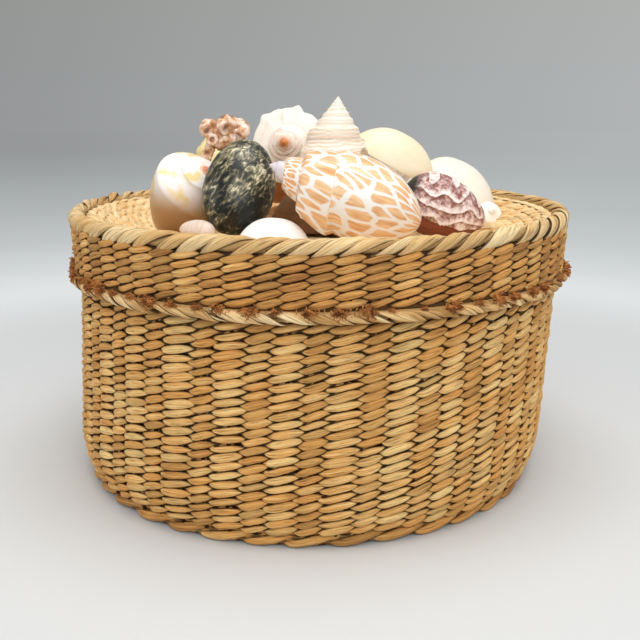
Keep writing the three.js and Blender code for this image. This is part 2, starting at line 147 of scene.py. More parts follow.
def twined_rows(name, rows, gaps, weaver, seed, steps=10, sides=6):
    """Rows of two weavers twined round stakes. A row is (radius, height, tilt, shift).

    A weaver says how far its stitches stand out (out, proud), how long, tall and thick they are (reach, tall,
    deep), how they slant and narrow (slant, shear, lean, pinch), how they vary (vary, mottle), how dark the
    painted shade is at their ends and edges (shade, groove_shade), and the tone and greenness of its two
    stems (tones, olive).
    """
    rng = np.random.default_rng(seed)
    stakes = len(gaps) - 1
    mesh, flat = flat_grids(name, 2 * len(rows), stakes * steps, sides)
    along = (flat[:, 0] + 1.0) / 2.0
    round_it = (flat[:, 1] + 1.0) / 2.0
    strand = np.arange(len(flat)) // ((stakes * steps + 1) * (sides + 1))
    row, second = strand // 2, strand % 2
    radius, height, tilt, shift = (np.array(rows)[row, k] for k in range(4))
    turn = along * stakes
    stitch = np.round(turn).astype(int) % stakes

    def each_stitch():
        """A random number for every stitch of both weavers."""
        return rng.standard_normal((len(rows), 2, stakes))[row, second, stitch]

    def each_crossing():
        """A random number for every stake in every row."""
        return rng.standard_normal((len(rows), stakes))[row, stitch]

    # One weaver lies outside a stake while the other passes behind it. A stitch is a pointed leaf in
    # front, which dives between two stakes and is thick again behind the next.
    phase = math.pi * (turn + second)
    away = np.abs((turn + second + 1.0) % 2.0 - 1.0)
    outside = 1.0 - 2.0 * smooth(0.25, 0.85, away) + weaver["proud"]
    front_leaf = np.clip(1.0 - (away / weaver["reach"]) ** 2, 0.0, 1.0)
    back_leaf = np.clip(1.0 - ((1.0 - away) / 0.45) ** 2, 0.0, 1.0) ** 0.6
    leaf = np.maximum(front_leaf, back_leaf)

    # Hand work: a stitch slips along its row, a row drifts against the last, and a stem is flat.
    slip = 0.05 * each_crossing() * (1.0 - np.abs(2.0 * (turn - np.round(turn))))
    drift = np.cumsum(0.03 * rng.standard_normal(len(rows)))[row] - weaver.get("lean", 0.0) * row
    side = 2.0 * math.pi * round_it + math.pi
    side = side - 0.35 * np.sin(side)
    moved = turn + 0.5 + slip + drift + weaver["shear"] * np.sin(side)
    around_it = np.concatenate([gaps[:-1] - 2.0 * math.pi, gaps, gaps[1:] + 2.0 * math.pi])
    angle = np.interp(moved, np.arange(-stakes, 2 * stakes + 1), around_it)

    # No two stitches have the same thickness or slant, and the rows wave a little.
    fat = np.clip(1.0 + weaver["vary"] * each_stitch(), 0.7, 1.35)
    bulge = 1.0 + 0.14 * each_stitch()
    tall = weaver["tall"] * (weaver["pinch"] + (1.0 - weaver["pinch"]) * leaf) * fat
    deep = weaver["deep"] * (0.45 + 0.55 * leaf)
    slant = weaver["slant"] * (1.0 + 0.15 * each_crossing())
    wave = 0.00022 * np.sin(2.0 * angle + 0.15 * row) + 0.00014 * np.sin(5.0 * angle + 0.3 * row + 1.0)
    out = weaver["out"] * outside * bulge + deep * np.cos(side)
    up = slant * np.sin(phase) + wave + tall * np.sin(side)
    reach = radius + out * np.cos(tilt) - up * np.sin(tilt)
    points = np.stack([reach * np.cos(angle) + shift, reach * np.sin(angle),
                       height + out * np.sin(tilt) + up * np.cos(tilt)], axis=1)

    # Each stitch has its own tone, and painted shade darkens its edge and where it dives.
    tone = np.where(second == 0, *weaver["tones"]) + weaver["mottle"] * each_stitch()
    green = np.where(second == 0, *weaver["olive"]) + 0.3 * each_stitch()
    dive_shade = weaver["shade"] * smooth(0.28, 0.7, away) * (1.0 - smooth(0.75, 0.9, away))
    inward = 1000.0 * tall * (1.0 - np.abs(np.sin(side))) * (1.0 - dive_shade)
    valued(mesh, olive=np.clip(green, 0.0, 1.0), tone=np.clip(tone, 0.0, 1.0), edge=inward / weaver["groove_shade"])
    places = np.stack([angle * radius + 0.37 * strand,
                       round_it * 2.0 * math.pi * weaver["tall"] + 0.011 * strand], axis=1)
    return closed_skin(name, mesh, points, "strand", places, outward=False)


def colour(code):
    """A colour written as on a screen, #rrggbb, in the linear values that the sockets take."""
    parts = [int(code[k:k + 2], 16) / 255.0 for k in (1, 3, 5)]
    return [c / 12.92 if c <= 0.04045 else ((c + 0.055) / 1.055) ** 2.4 for c in parts] + [1.0]


def wired(tree, node_type, inputs=(), **settings):
    """A new node with its settings made and its inputs linked, or set to a value or #rrggbb."""
    node = tree.nodes.new(node_type)
    for key, value in settings.items():
        setattr(node, key, value)
    for key, value in dict(inputs).items():
        if isinstance(value, bpy.types.NodeSocket):
            tree.links.new(value, node.inputs[key])
        else:
            node.inputs[key].default_value = colour(value) if isinstance(value, str) else value
    return node


def value_of(tree, name):
    """A value that was written for each point of the mesh."""
    return wired(tree, "ShaderNodeAttribute", attribute_name=name).outputs["Fac"]


def pattern_place(tree, name):
    """The place on the strand or shell that its pattern follows."""
    return wired(tree, "ShaderNodeUVMap", uv_map=name).outputs["UV"]


def own_place(tree):
    """The place in the object's own metres."""
    return wired(tree, "ShaderNodeTexCoord").outputs["Object"]


def parts_of(tree, vector):
    """A vector's X, Y and Z."""
    return wired(tree, "ShaderNodeSeparateXYZ", {0: vector}).outputs


def stretched(tree, vector, factors):
    """A vector stretched by its own factor along each axis."""
    return wired(tree, "ShaderNodeVectorMath", {0: vector, 1: factors}, operation="MULTIPLY").outputs[0]


def clouds(tree, vector, scale, detail, **more):
    """Soft noise over a place."""
    inputs = {"Vector": vector, "Scale": scale, "Detail": detail, **more}
    return wired(tree, "ShaderNodeTexNoise", inputs).outputs["Fac"]


def worked(tree, operation, *values, **settings):
    """Arithmetic on two or three values."""
    return wired(tree, "ShaderNodeMath", dict(enumerate(values)), operation=operation, **settings).outputs[0]


def ranged(tree, value, low, high, bottom=0.0, top=1.0, **settings):
    """A value between low and high, moved to lie between bottom and top."""
    inputs = {"Value": value, "From Min": low, "From Max": high, "To Min": bottom, "To Max": top}
    return wired(tree, "ShaderNodeMapRange", inputs, **settings).outputs[0]


def blended(tree, share, under, over, **settings):
    """A colour with another laid over it by a share."""
    inputs = {0: share, 6: under, 7: over}
    return wired(tree, "ShaderNodeMix", inputs, data_type="RGBA", **settings).outputs[2]


def new_group(name, *inputs):
    """An empty node group that gives a colour and a height, with its inner input and output."""
    group = bpy.data.node_groups.new(name, "ShaderNodeTree")
    for key, kind in inputs:
        group.interface.new_socket(key, in_out="INPUT", socket_type=f"NodeSocket{kind}")
    for key, kind in (("Color", "Color"), ("Height", "Float")):
        group.interface.new_socket(key, in_out="OUTPUT", socket_type=f"NodeSocket{kind}")
    return group, group.nodes.new("NodeGroupInput").outputs, group.nodes.new("NodeGroupOutput").inputs


def dried_stem():
    """Colour and relief of a weaver: its own tone, fine fibres along it, and painted shade in the hollows."""
    group, given, result = new_group("dried_stem", ("Dark", "Color"), ("Middle", "Color"), ("Light", "Color"),
                                     ("Olive", "Color"), ("Fibre_and_shade", "Color"))
    strand = pattern_place(group, "strand")
    fibres = clouds(group, stretched(group, strand, (110.0, 1900.0, 1.0)), 1.0, 4.0, Roughness=0.62)
    bands = clouds(group, stretched(group, strand, (45.0, 650.0, 1.0)), 1.0, 2.0)
    patches = clouds(group, own_place(group), 55.0, 2.0)
    band = ranged(group, bands, 0.3, 0.7, -0.22, 0.22, clamp=False)
    patch = ranged(group, patches, 0.3, 0.7, -0.12, 0.12, clamp=False)
    banded = worked(group, "ADD", value_of(group, "tone"), band)
    tone = worked(group, "ADD", banded, patch, use_clamp=True)
    dull = blended(group, ranged(group, tone, 0.0, 0.5), given["Dark"], given["Middle"])
    bright = blended(group, ranged(group, tone, 0.5, 1.0), dull, given["Light"])
    green = worked(group, "MULTIPLY", value_of(group, "olive"), 0.5)
    greyed = blended(group, green, bright, given["Olive"])
    lined = blended(group, ranged(group, fibres, 0.36, 0.5, 0.62, 0.0), greyed, given["Fibre_and_shade"])
    # Painted shade: near its edges and where it dives, as its edge value says, a strand turns to its darkest
    # colour.
    hollow = ranged(group, value_of(group, "edge"), 0.1, 0.35, 0.94, 0.0)
    group.links.new(blended(group, hollow, lined, given["Fibre_and_shade"]), result["Color"])
    group.links.new(fibres, result["Height"])
    return group


STEM = dried_stem()


def new_look(name, roughness, mirror=0.5):
    """A bare material and its node tree, with its roughness and how much it mirrors."""
    look = bpy.data.materials.new(name)
    look.use_nodes = True
    shader = look.node_tree.nodes["Principled BSDF"]
    shader.inputs["Roughness"].default_value = roughness
    shader.inputs["Specular IOR Level"].default_value = mirror
    return look, look.node_tree


def painted(tree, skin, height=None, strength=0.5, relief=0.0):
    """Gives a material its colour and, where a height is given, its relief."""
    shader = tree.nodes["Principled BSDF"]
    tree.links.new(skin, shader.inputs["Base Color"])
    if height is not None:
        bump = wired(tree, "ShaderNodeBump", {"Strength": strength, "Distance": relief, "Height": height})
        tree.links.new(bump.outputs["Normal"], shader.inputs["Normal"])


def straw(name, dark, middle, light, hollow, roughness=0.72, relief=0.0004):
    """A material of dried stem in its colours, satin, its fibres in relief, its hollow colour for fibres and
    painted shade.
    """
    look, tree = new_look(name, roughness, mirror=0.3)
    colours = {"Dark": dark, "Middle": middle, "Light": light, "Fibre_and_shade": hollow, "Olive": "#a8854a"}
    stem = wired(tree, "ShaderNodeGroup", colours, node_tree=STEM).outputs
    painted(tree, stem["Color"], stem["Height"], 0.7, relief)
    return look


def finished(piece, look, body, slot, *nodes):
    """Gives a piece its material, its body and the CAD nodes that it stands for, which it hides. Its slot is
    not used.
    """
    piece.data.materials.append(look)
    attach(piece, body)
    if nodes:
        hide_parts(*nodes)
    return piece


body_straw = straw("body_straw", "#a87038", "#e8a85a", "#fad690", "#241104")
wall_weaver = {"out": 0.0009, "proud": 0.2, "reach": 0.77, "shade": 0.95, "groove_shade": 1.0, "tall": 0.00188,
               "deep": 0.0011, "slant": 0.00082, "pinch": 0.02, "shear": 0.03, "vary": 0.1,
               "tones": (0.72, 0.58), "olive": (0.05, 0.35), "mottle": 0.12}
wall_gaps = stake_gaps(BODY_STAKES, uneven=0.15, seed=3)

wall_rows = []
for k in range(WALL_ROWS):
    level = WALL_FOOT + ROW * (k + 0.5)
    tilt = -math.atan(slope_of(wall_radius, level))
    wall_rows.append((wall_radius(level) - STAKE_DEPTH, level, tilt, leaning(level)))
for k, part in enumerate(("lower", "middle", "upper")):
    woven = twined_rows(f"basket_wall_{part}", wall_rows[10 * k:10 * k + 10], wall_gaps, wall_weaver, 11 + k)
    finished(woven, body_straw, "basket", "straw", "basket_wall")


# The stakes that the weavers pass round: thin upright dried stems in the middle of the wall,
# held by the weavers alone. They are seen only between the stitches, painted dark brown as shade.


def shaped(name, work, soft=True):
    """A bmesh made an object of its own, with soft or flat faces."""
    for face in work.faces:
        face.smooth = soft
    mesh = bpy.data.meshes.new(name)
    work.to_mesh(mesh)
    work.free()
    return standing(name, mesh)


def upright_stakes(name, gaps, radius_at, shift_at, low, high, thickness, cuts=6):
    """One stem for each space between two gaps, following the wall from low to high."""
    stems = bmesh.new()
    for k in range(len(gaps) - 1):
        angle = (gaps[k] + gaps[k + 1]) / 2.0
        made = len(stems.verts)
        stem = bmesh.ops.create_cone(stems, cap_ends=True, segments=6, radius1=thickness,
                                     radius2=thickness, depth=1.0,
                                     matrix=Matrix.Translation((0.0, 0.0, 0.5)))["verts"]
        sides = {e for v in stem for e in v.link_edges if abs(e.verts[0].co.z - e.verts[1].co.z) > 0.5}
        bmesh.ops.subdivide_edges(stems, edges=list(sides), cuts=cuts)
        for vert in list(stems.verts)[made:]:
            level = low + (high - low) * vert.co.z
            reach = radius_at(level) + vert.co.x
            vert.co = Vector((reach * math.cos(angle) - vert.co.y * math.sin(angle) + shift_at(level),
                              reach * math.sin(angle) + vert.co.y * math.cos(angle), level))
    return shaped(name, stems)


shade_dark_stake_straw = straw("shade_dark_stake_straw", "#4a3216", "#6b4a22", "#7d5a2c", "#2c190a")
wall_stakes = upright_stakes("basket_stakes", wall_gaps, lambda z: wall_radius(z) - STAKE_DEPTH, leaning,
                             low=0.0045, high=0.107, thickness=0.0009)
finished(wall_stakes, shade_dark_stake_straw, "basket", "straw")


# The basket's foot: a thick border of two twisted strands of dried stem, worked onto the wall's
# lower edge, on which the basket stands. Its long strands rise to the right.

FOOT_LEVEL = 0.0031

foot_weaver = {"out": 0.0009, "proud": 0.2, "reach": 0.7, "shade": 0.9, "groove_shade": 1.1, "tall": 0.0024,
               "deep": 0.002, "slant": 0.0011, "pinch": 0.15, "shear": 0.1, "vary": 0.05,
               "tones": (0.48, 0.38), "olive": (0.2, 0.3), "mottle": 0.14}
foot_rope = twined_rows("basket_foot_rope_woven", [(0.0940, FOOT_LEVEL, 0.0, leaning(0.003))],
                        stake_gaps(36, uneven=0.04, seed=5), foot_weaver, seed=21, steps=12, sides=10)
finished(foot_rope, body_straw, "basket", "straw", "basket_foot_rope")


def rope_core(name, look, body, slot, middle, level, thick, shift=0.0):
    """The hidden core of a rope, so that no light falls through between its strands."""
    core = bmesh.new()
    upright = Matrix.Translation((middle, 0.0, level)) @ Matrix.Rotation(math.pi / 2.0, 4, "X")
    bmesh.ops.create_circle(core, segments=10, radius=thick, matrix=upright)
    bmesh.ops.spin(core, geom=core.verts[:] + core.edges[:], cent=(0.0, 0.0, 0.0), axis=(0.0, 0.0, 1.0),
                   angle=2.0 * math.pi, steps=96, use_merge=True)
    bmesh.ops.translate(core, verts=core.verts, vec=(shift, 0.0, 0.0))
    bmesh.ops.recalc_face_normals(core, faces=core.faces)
    piece = shaped(name, core)
    piece.data.uv_layers.new(name="strand")
    valued(piece.data, tone=0.35, olive=0.2, edge=1.0)
    finished(piece, look, body, slot)


rope_core("basket_foot_core", body_straw, "basket", "straw", middle=0.0930, level=FOOT_LEVEL, thick=0.0022,
          shift=leaning(0.003))
rope_core("basket_wall_foot", body_straw, "basket", "straw", middle=0.0945, level=0.0062, thick=0.0013,
          shift=leaning(0.006))


# The basket's floor: a flat disc of the same twined rows, worked outwards from the middle and
# bound to the foot. Only an empty basket shows it.


def joined(name, pieces):
    """Several meshes made one piece."""
    first = pieces[0]
    with bpy.context.temp_override(active_object=first, selected_editable_objects=pieces):
        bpy.ops.object.join()
    first.name = name
    first.data.name = name
    return first


def twined_disc(name, outer, height_at, tilt, weaver, seed, shift=0.0):
    """Rows of a woven disc from its rim inwards, with fewer stakes where they come together."""
    rings = []
    for low, high, count in ((0.060, outer, 66), (0.030, 0.060, 34), (0.012, 0.030, 16), (0.002, 0.012, 8)):
        rows = []
        for k in range(int(round((high - low) / ROW))):
            radius = high - ROW * (k + 0.5)
            rows.append((radius, height_at(radius), tilt + math.atan(slope_of(height_at, radius)), shift))
        gaps = stake_gaps(count, uneven=0.05, seed=seed + count)
        rings.append(twined_rows(f"{name}_{count}", rows, gaps, weaver, seed + count, steps=7))
    return joined(name, rings)


floor_weaver = {"out": 0.0005, "proud": 0.3, "reach": 0.68, "shade": 0.8, "groove_shade": 1.1, "tall": 0.0021,
                "deep": 0.0009, "slant": 0.001, "pinch": 0.1, "shear": 0.08, "vary": 0.07,
                "tones": (0.6, 0.5), "olive": (0.2, 0.4), "mottle": 0.1}
basket_floor = twined_disc("basket_base_woven", 0.0904, lambda r: 0.0021, -math.pi / 2.0, floor_weaver,
                           seed=31, shift=leaning(0.002))
finished(basket_floor, body_straw, "basket", "straw", "basket_base")


# The border round the basket's mouth, hidden under the lid: two twisted strands of dried stem
# like the foot's, but thinner, worked onto the wall's upper edge. The lid's disc rests on it.

MOUTH_RADIUS = 0.0976

mouth_weaver = dict(foot_weaver, out=0.0008, proud=0.0, shade=0.8, tall=0.0014, deep=0.0012, slant=0.0007,
                    tones=(0.65, 0.55), mottle=0.1)
mouth_gaps = stake_gaps(BODY_STAKES, uneven=0.04, seed=7)
mouth_rope = twined_rows("basket_rim_rope_woven", [(MOUTH_RADIUS, 0.1070, 0.0, 0.0)], mouth_gaps,
                         mouth_weaver, seed=22, steps=8, sides=8)
finished(mouth_rope, body_straw, "basket", "straw", "basket_rim_rope")
rope_core("basket_rim_core", body_straw, "basket", "straw", middle=MOUTH_RADIUS, level=0.1052, thick=0.0010)


# The lid's disc: twined rows of pale dried stem like the floor's, dished in the middle, where
# the shells are glued down. Its straw is paler than the wall's, partly painted light from above.

DISH_RADIUS = 0.0944
DISH_RIM = 0.1131
DISH_DEPTH = 0.0095
DISC_STEM = 0.0019


def disc_top(radius):
    """Height of the lid's dished disc."""
    share = min(1.0, radius / DISH_RADIUS)
    return DISH_RIM - DISH_DEPTH * (1.0 - share**8)


# Painted light: the disc's straw is lightened, and its painted shade weakened, for the light from above.
top_lit_lid_straw = straw("top_lit_lid_straw", "#dea860", "#fdd090", "#fee9b8", "#b8824a", relief=0.0002)
disc_weaver = dict(floor_weaver, out=0.0002, proud=0.5, reach=0.78, shade=0.5, groove_shade=0.45, tall=0.002,
                   deep=0.0005, slant=0.00085, shear=0.1, vary=0.05, tones=(0.78, 0.66), olive=(0.0, 0.12))
lid_disc = twined_disc("lid_top_woven", 0.0978, lambda r: disc_top(r) - DISC_STEM, math.pi / 2.0,
                       disc_weaver, seed=41)
finished(lid_disc, top_lit_lid_straw, "lid", "straw", "lid_top")


# The rope round the lid's upper edge: broad pale strands of split stem, one from each stake.
# Each comes up from outside, runs slantwise to the right over the edge, and lies over the one
# before.

LID_STAKES = 66
LID_PITCH = 2.0 * math.pi / LID_STAKES


def laid_strands(name, starts, strand, seed, section, sweep, span, steps=26, sides=8):
    """Flat pointed strands laid slantwise round a rope's section, each over the one before.

    The section is (radius, height, half its depth, half its height), the sweep is the degrees round it
    between which a strand runs, and the span is how far it runs round the lid meanwhile. A strand says its
    width and thickness, how far its start lies over its end (lift), how blunt its points are (point), how it
    varies (vary, sway, mottle), its tone, and how wide the painted shade along its edge is (groove_shade).
    """
    rng = np.random.default_rng(seed)
    mesh, flat = flat_grids(name, len(starts), steps, sides)
    along = (flat[:, 0] + 1.0) / 2.0
    side = math.pi * flat[:, 1]
    k = np.arange(len(flat)) // ((steps + 1) * (sides + 1))

    def uneven(amount):
        """A random number for every strand."""
        return (amount * rng.standard_normal(len(starts)))[k]

    middle, level, deep, tall = section
    start, end = (math.radians(turned) for turned in sweep)
    turned_by = start + (end - start) * along + uneven(strand["sway"])
    full = np.clip(np.sin(math.pi * along), 0.0, 1.0) ** strand["point"]
    width = strand["width"] * full * (1.0 + np.clip(uneven(strand["vary"]), -0.35, 0.35))
    thick = strand["thick"] * full**0.6
    lift = strand["lift"] * (0.5 - along) + uneven(strand["lift"] * 0.15)
    turned_by = turned_by + width * np.sin(side) / tall
    out = lift + thick * np.cos(side)
    reach = middle + (deep + out) * np.cos(turned_by)
    angle = np.array(starts)[k] + span * along * (1.0 + uneven(strand["vary"] / 2.0))
    points = np.stack([reach * np.cos(angle), reach * np.sin(angle),
                       level + (tall + out) * np.sin(turned_by)], axis=1)

    tone = np.clip(strand["tone"] + uneven(strand["mottle"]), 0.0, 1.0)
    # Painted shade along each strand's edges and over its back, as wide as groove_shade says.
    from_edge = np.where(np.cos(side) > -0.3, 1.0 - np.abs(np.sin(side)), 0.0)
    valued(mesh, tone=tone, olive=np.clip(0.2 + uneven(0.25), 0.0, 1.0),
           edge=1000.0 * width * from_edge / strand["groove_shade"])
    places = np.stack([along * abs(span) * middle + 0.37 * k, side * strand["width"] + 0.013 * k], axis=1)
    return closed_skin(name, mesh, points, "strand", places)


rim_straw = straw("rim_straw", "#bb8a4c", "#e8bd7f", "#fbe0ac", "#4a2c12", roughness=0.66)
lid_gaps = stake_gaps(LID_STAKES, uneven=0.05, seed=9)
rim_strand = {"width": 0.0027, "thick": 0.0011, "lift": 0.0019, "point": 0.55, "vary": 0.16, "sway": 0.16,
              "tone": 0.62, "mottle": 0.16, "groove_shade": 0.8}
edge_rope = laid_strands("lid_edge_rope_woven", lid_gaps[:-1], rim_strand, seed=23,
                         section=(0.1014, 0.1110, 0.0025, 0.0027), sweep=(-85.0, 175.0), span=2.6 * LID_PITCH)
finished(edge_rope, rim_straw, "lid", "pale_straw", "lid_edge_rope")
rope_core("lid_edge_core", rim_straw, "lid", "pale_straw", middle=0.1012, level=0.1108, thick=0.0023)


# The lid's skirt: six twined rows of dried stem like the wall's, over the basket's neck, with
# short upright stakes inside them. It hangs from the edge rope, and its darker tones are painted shade
# from that rope.

SKIRT_ROWS = 6
SKIRT_ROW = 0.00303
SKIRT_LOW = 0.0906
SKIRT_TOP = 0.1091
SKIRT_RADIUS = 0.1031

shade_toned_skirt_weaver = dict(wall_weaver, out=0.00075, tall=0.00168, deep=0.00095, slant=0.00072, vary=0.08, lean=0.03,
                    tones=(0.48, 0.32), olive=(0.15, 0.5), mottle=0.13)
skirt_rows = []
for k in range(SKIRT_ROWS):
    level = SKIRT_LOW + SKIRT_ROW * (k + 0.5)
    skirt_rows.append((SKIRT_RADIUS - 0.001 * (SKIRT_TOP - level) / 0.017, level, 0.0, 0.0))
skirt = twined_rows("lid_skirt_woven", skirt_rows, lid_gaps, shade_toned_skirt_weaver, seed=24)
finished(skirt, body_straw, "lid", "straw", "lid_skirt")
skirt_stakes = upright_stakes("lid_stakes", lid_gaps, lambda z: 0.1028, lambda z: 0.0,
                              low=0.0915, high=0.1102, thickness=0.0007)
finished(skirt_stakes, shade_dark_stake_straw, "lid", "straw")


# The fringe below the skirt: the stakes' ends, cut off short and frayed into tufts of brown
# fibre that stand out all round.

TUFT_FIBRES = 72
TUFT_KINDS = 6
FRINGE_RADIUS = 0.1044
FRINGE_LEVEL = 0.0897

random.seed(17)
tufts = []
for _ in range(TUFT_KINDS):
    tuft = bmesh.new()
    for _ in range(TUFT_FIBRES):
        length = random.uniform(0.0014, 0.0027)
        aside = Matrix.Rotation(random.gauss(0.0, 0.3), 4, "Z")
        spread = aside @ Matrix.Rotation(random.gauss(0.05, 0.3), 4, "Y")
        root = Matrix.Translation((0.0, random.gauss(0.0, 0.0014), random.gauss(0.0, 0.0008)))
        thick = random.uniform(0.00016, 0.0003)
        bmesh.ops.create_cone(tuft, cap_ends=True, segments=4, radius1=thick, radius2=thick * 0.7,
                              depth=length,
                              matrix=root @ spread @ Matrix.Translation((length / 2.0, 0.0, 0.0))
                              @ Matrix.Rotation(math.pi / 2.0, 4, "Y"))
    tufts.append(bpy.data.meshes.new("tuft"))
    tuft.to_mesh(tufts[-1])
    tuft.free()
fringe = bmesh.new()
for k in range(LID_STAKES):
    made = len(fringe.verts)
    fringe.from_mesh(random.choice(tufts))
    bushy = random.choice((0.5, 0.75, 1.0, 1.15))
    place = (Matrix.Rotation(lid_gaps[k] + random.gauss(0.0, 0.012), 4, "Z")
             @ Matrix.Translation((FRINGE_RADIUS, 0.0, FRINGE_LEVEL)) @ Matrix.Scale(bushy, 4))
    for vert in fringe.verts[made:]:
        vert.co = place @ vert.co
lid_fringe = shaped("lid_fringe", fringe, soft=False)


def graded(tree, value, *stops):
    """A colour that follows a value through stops of a place and a colour."""
    ramp = wired(tree, "ShaderNodeValToRGB", {"Fac": value})
    elements = ramp.color_ramp.elements
    for element, (place, code) in zip(elements, (stops[0], stops[-1])):
        element.position = place
        element.color = colour(code)
    for place, code in stops[1:-1]:
        elements.new(place).color = colour(code)
    return ramp.outputs["Color"]


cut_ends, tree = new_look("cut_stem_ends", 0.85)
painted(tree, graded(tree, clouds(tree, own_place(tree), 420.0, 3.0), (0.32, "#7a3e14"), (0.7, "#d49048")))
finished(lid_fringe, cut_ends, "lid", "cut_straw", "lid_stake_ends")


# The row that finishes the lid's lower edge: short pale strands of split stem, laid the other
# way, so that they slant down to the right, uneven, with their ends sticking out in points.

low_strand = {"width": 0.0014, "thick": 0.0007, "lift": -0.0011, "point": 0.7, "vary": 0.3, "sway": 0.3,
              "tone": 0.5, "mottle": 0.3, "groove_shade": 0.75}
low_starts = np.concatenate([lid_gaps[:-1] + 0.02, (lid_gaps[:-1] + lid_gaps[1:]) / 2.0 + 0.01])
lower_twist = laid_strands("lid_lower_twist_woven", low_starts, low_strand, seed=25,
                           section=(0.1038, 0.0877, 0.0015, 0.0015), sweep=(100.0, -95.0),
                           span=1.6 * LID_PITCH)
finished(lower_twist, rim_straw, "lid", "pale_straw", "lid_lower_twist")
rope_core("lid_lower_core", rim_straw, "lid", "pale_straw", middle=0.1032, level=0.0884, thick=0.0013)
# The fringe's core takes the stakes' dark colour, painted shade under the skirt.
rope_core("lid_fringe_core", shade_dark_stake_straw, "lid", "straw", middle=0.1016, level=0.0901, thick=0.0012)


# The large patterned spiral shell at the front, lying on its side with its spire to the left:
# glossy, a white net over peach and orange patches, first whorls lilac-grey. Glued down, as
# every shell of the heap is.


def coil_radius(shell, depth, turn):
    """Radius of a coiled shell at a depth under its apex, and the whorl that the point is on.

    The suture is where one whorl meets the next. The whorls over the last shrink by the growth with every
    turn, on a cone of the given slope with a step at each suture. The last whorl swells from its ramp over
    its shoulder to its waist, and closes towards its lower end as its fullness and roundness say. The mouth
    is a hollow beside the lip.
    """
    suture = shell["length"] * shell["spire"] * shell["growth"] ** (turn - 1.0)
    edge = suture * shell["slope"]
    whorls = np.log(np.maximum(depth, 1e-7) / suture) / math.log(shell["growth"])
    whorl = np.floor(np.minimum(whorls, 0.0))
    share = np.minimum(whorls, 0.0) - whorl
    step = smooth(0.0, shell["ramp"], share) * (1.0 - share) ** 0.8
    spire = depth * shell["slope"] * (1.0 + shell["step"] * step)

    along = np.clip((depth - suture) / (shell["length"] - suture), 0.0, 1.0)
    widest = shell["radius"] * shell["growth"] ** ((turn - 1.0) * shell["flare"])
    shoulder = widest * shell["shoulder"]
    fall = np.clip((along - shell["waist"]) / (1.0 - shell["waist"]), 0.0, 1.0)
    rise = np.sin(math.pi / 2.0 * np.minimum(1.0, along / shell["waist"]))
    outline = (shoulder + (widest - shoulder) * rise) * (1.0 - fall ** shell["fullness"]) ** shell["round"]
    ramp = smooth(0.0, shell["ramp"] * 0.6, along)
    body = edge + (outline - edge) * ramp
    if "knobs" in shell:
        knob = np.maximum(0.0, -np.cos(2.0 * math.pi * shell["knobs"] * turn)) ** 2
        body = body + shell["knob_height"] * knob * np.exp(-(((along - shell["ramp"] * 0.8) / 0.12) ** 2))
    mouth = ((turn - shell["mouth"] / 2.0) / (shell["mouth"] / 2.0)) ** 2 + ((along - 0.55) / 0.42) ** 2
    dent = np.sqrt(np.clip(1.0 - mouth, 0.0, 1.0))
    body = np.maximum(body * (1.0 - shell["hollow"] * dent), 0.0004)

    on_body = depth >= suture
    around = turn + np.where(on_body, 0.0, whorl)
    widths = (shell["length"] - suture) / (suture - suture / shell["growth"])
    across = np.where(on_body, along * widths, share)
    radius = np.where(on_body, body, spire)
    if "cords" in shell:
        number, height = shell["cords"]
        radius = radius + height * np.cos(2.0 * math.pi * number * across) * smooth(0.0, 0.002, radius)
    return radius, around, across, np.where(on_body, along, 0.0)


def laid(name, node, points, places, apex, roll, reach=None):
    """Closes a grid of skin points into a shell, turns it as it lies, and puts it in its place."""
    mesh, _ = flat_grids(name, 1, points.shape[1] - 1, points.shape[0] - 1)
    turn = Vector((0.0, 0.0, 1.0)).rotation_difference(Vector(apex)).to_matrix()
    turn = np.array(turn @ Matrix.Rotation(math.radians(roll), 3, "Z"))
    placed = points.reshape(-1, 3) @ turn.T
    low, high = (np.array(p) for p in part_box(node))
    placed = placed + (low + high) / 2.0 - (placed.min(0) + placed.max(0)) / 2.0
    if reach is not None:
        valued(mesh, reach=reach.ravel())
    return closed_skin(name, mesh, placed, "whorl", places.reshape(-1, 2), poles=True)


def spiral_shell(name, node, shell, apex, roll, rings=150, columns=150):
    """A coiled shell with its lip, as one closed skin."""
    share, column = np.meshgrid(np.arange(rings + 1) / rings, np.arange(columns + 2), indexing="ij")
    turn = np.where(column > columns, 0.0, column / columns)
    depth = shell["length"] * share**1.15
    radius, around, across, along = coil_radius(shell, depth, turn)
    radius = np.where((share <= 0.0) | (share >= 1.0), 0.0, radius)
    angle = turn * (2.0 * math.pi - 0.14)
    points = np.stack([radius * np.cos(angle), -radius * np.sin(angle), shell["length"] / 2.0 - depth],
                      axis=-1)
    return laid(name, node, points, np.stack([around, across], axis=-1), apex, roll, along)


def growth_lines():
    """Fine lines along a shell's growth and across it, for its colour and its relief."""
    group, given, result = new_group("growth_lines", ("Ground", "Color"), ("Line", "Color"),
                                     ("Cloud", "Color"), ("Amount", "Float"), ("Cloudy", "Float"),
                                     ("Count", "Vector"))
    lines = clouds(group, stretched(group, pattern_place(group, "whorl"), given["Count"]), 1.0, 3.0)
    line = worked(group, "MULTIPLY", ranged(group, lines, 0.45, 0.75), given["Amount"])
    patches = clouds(group, own_place(group), 110.0, 3.0)
    patch = worked(group, "MULTIPLY", ranged(group, patches, 0.42, 0.68), given["Cloudy"])
    clouded = blended(group, patch, given["Ground"], given["Cloud"])
    group.links.new(blended(group, line, clouded, given["Line"]), result["Color"])
    group.links.new(lines, result["Height"])
    return group


LINES = growth_lines()


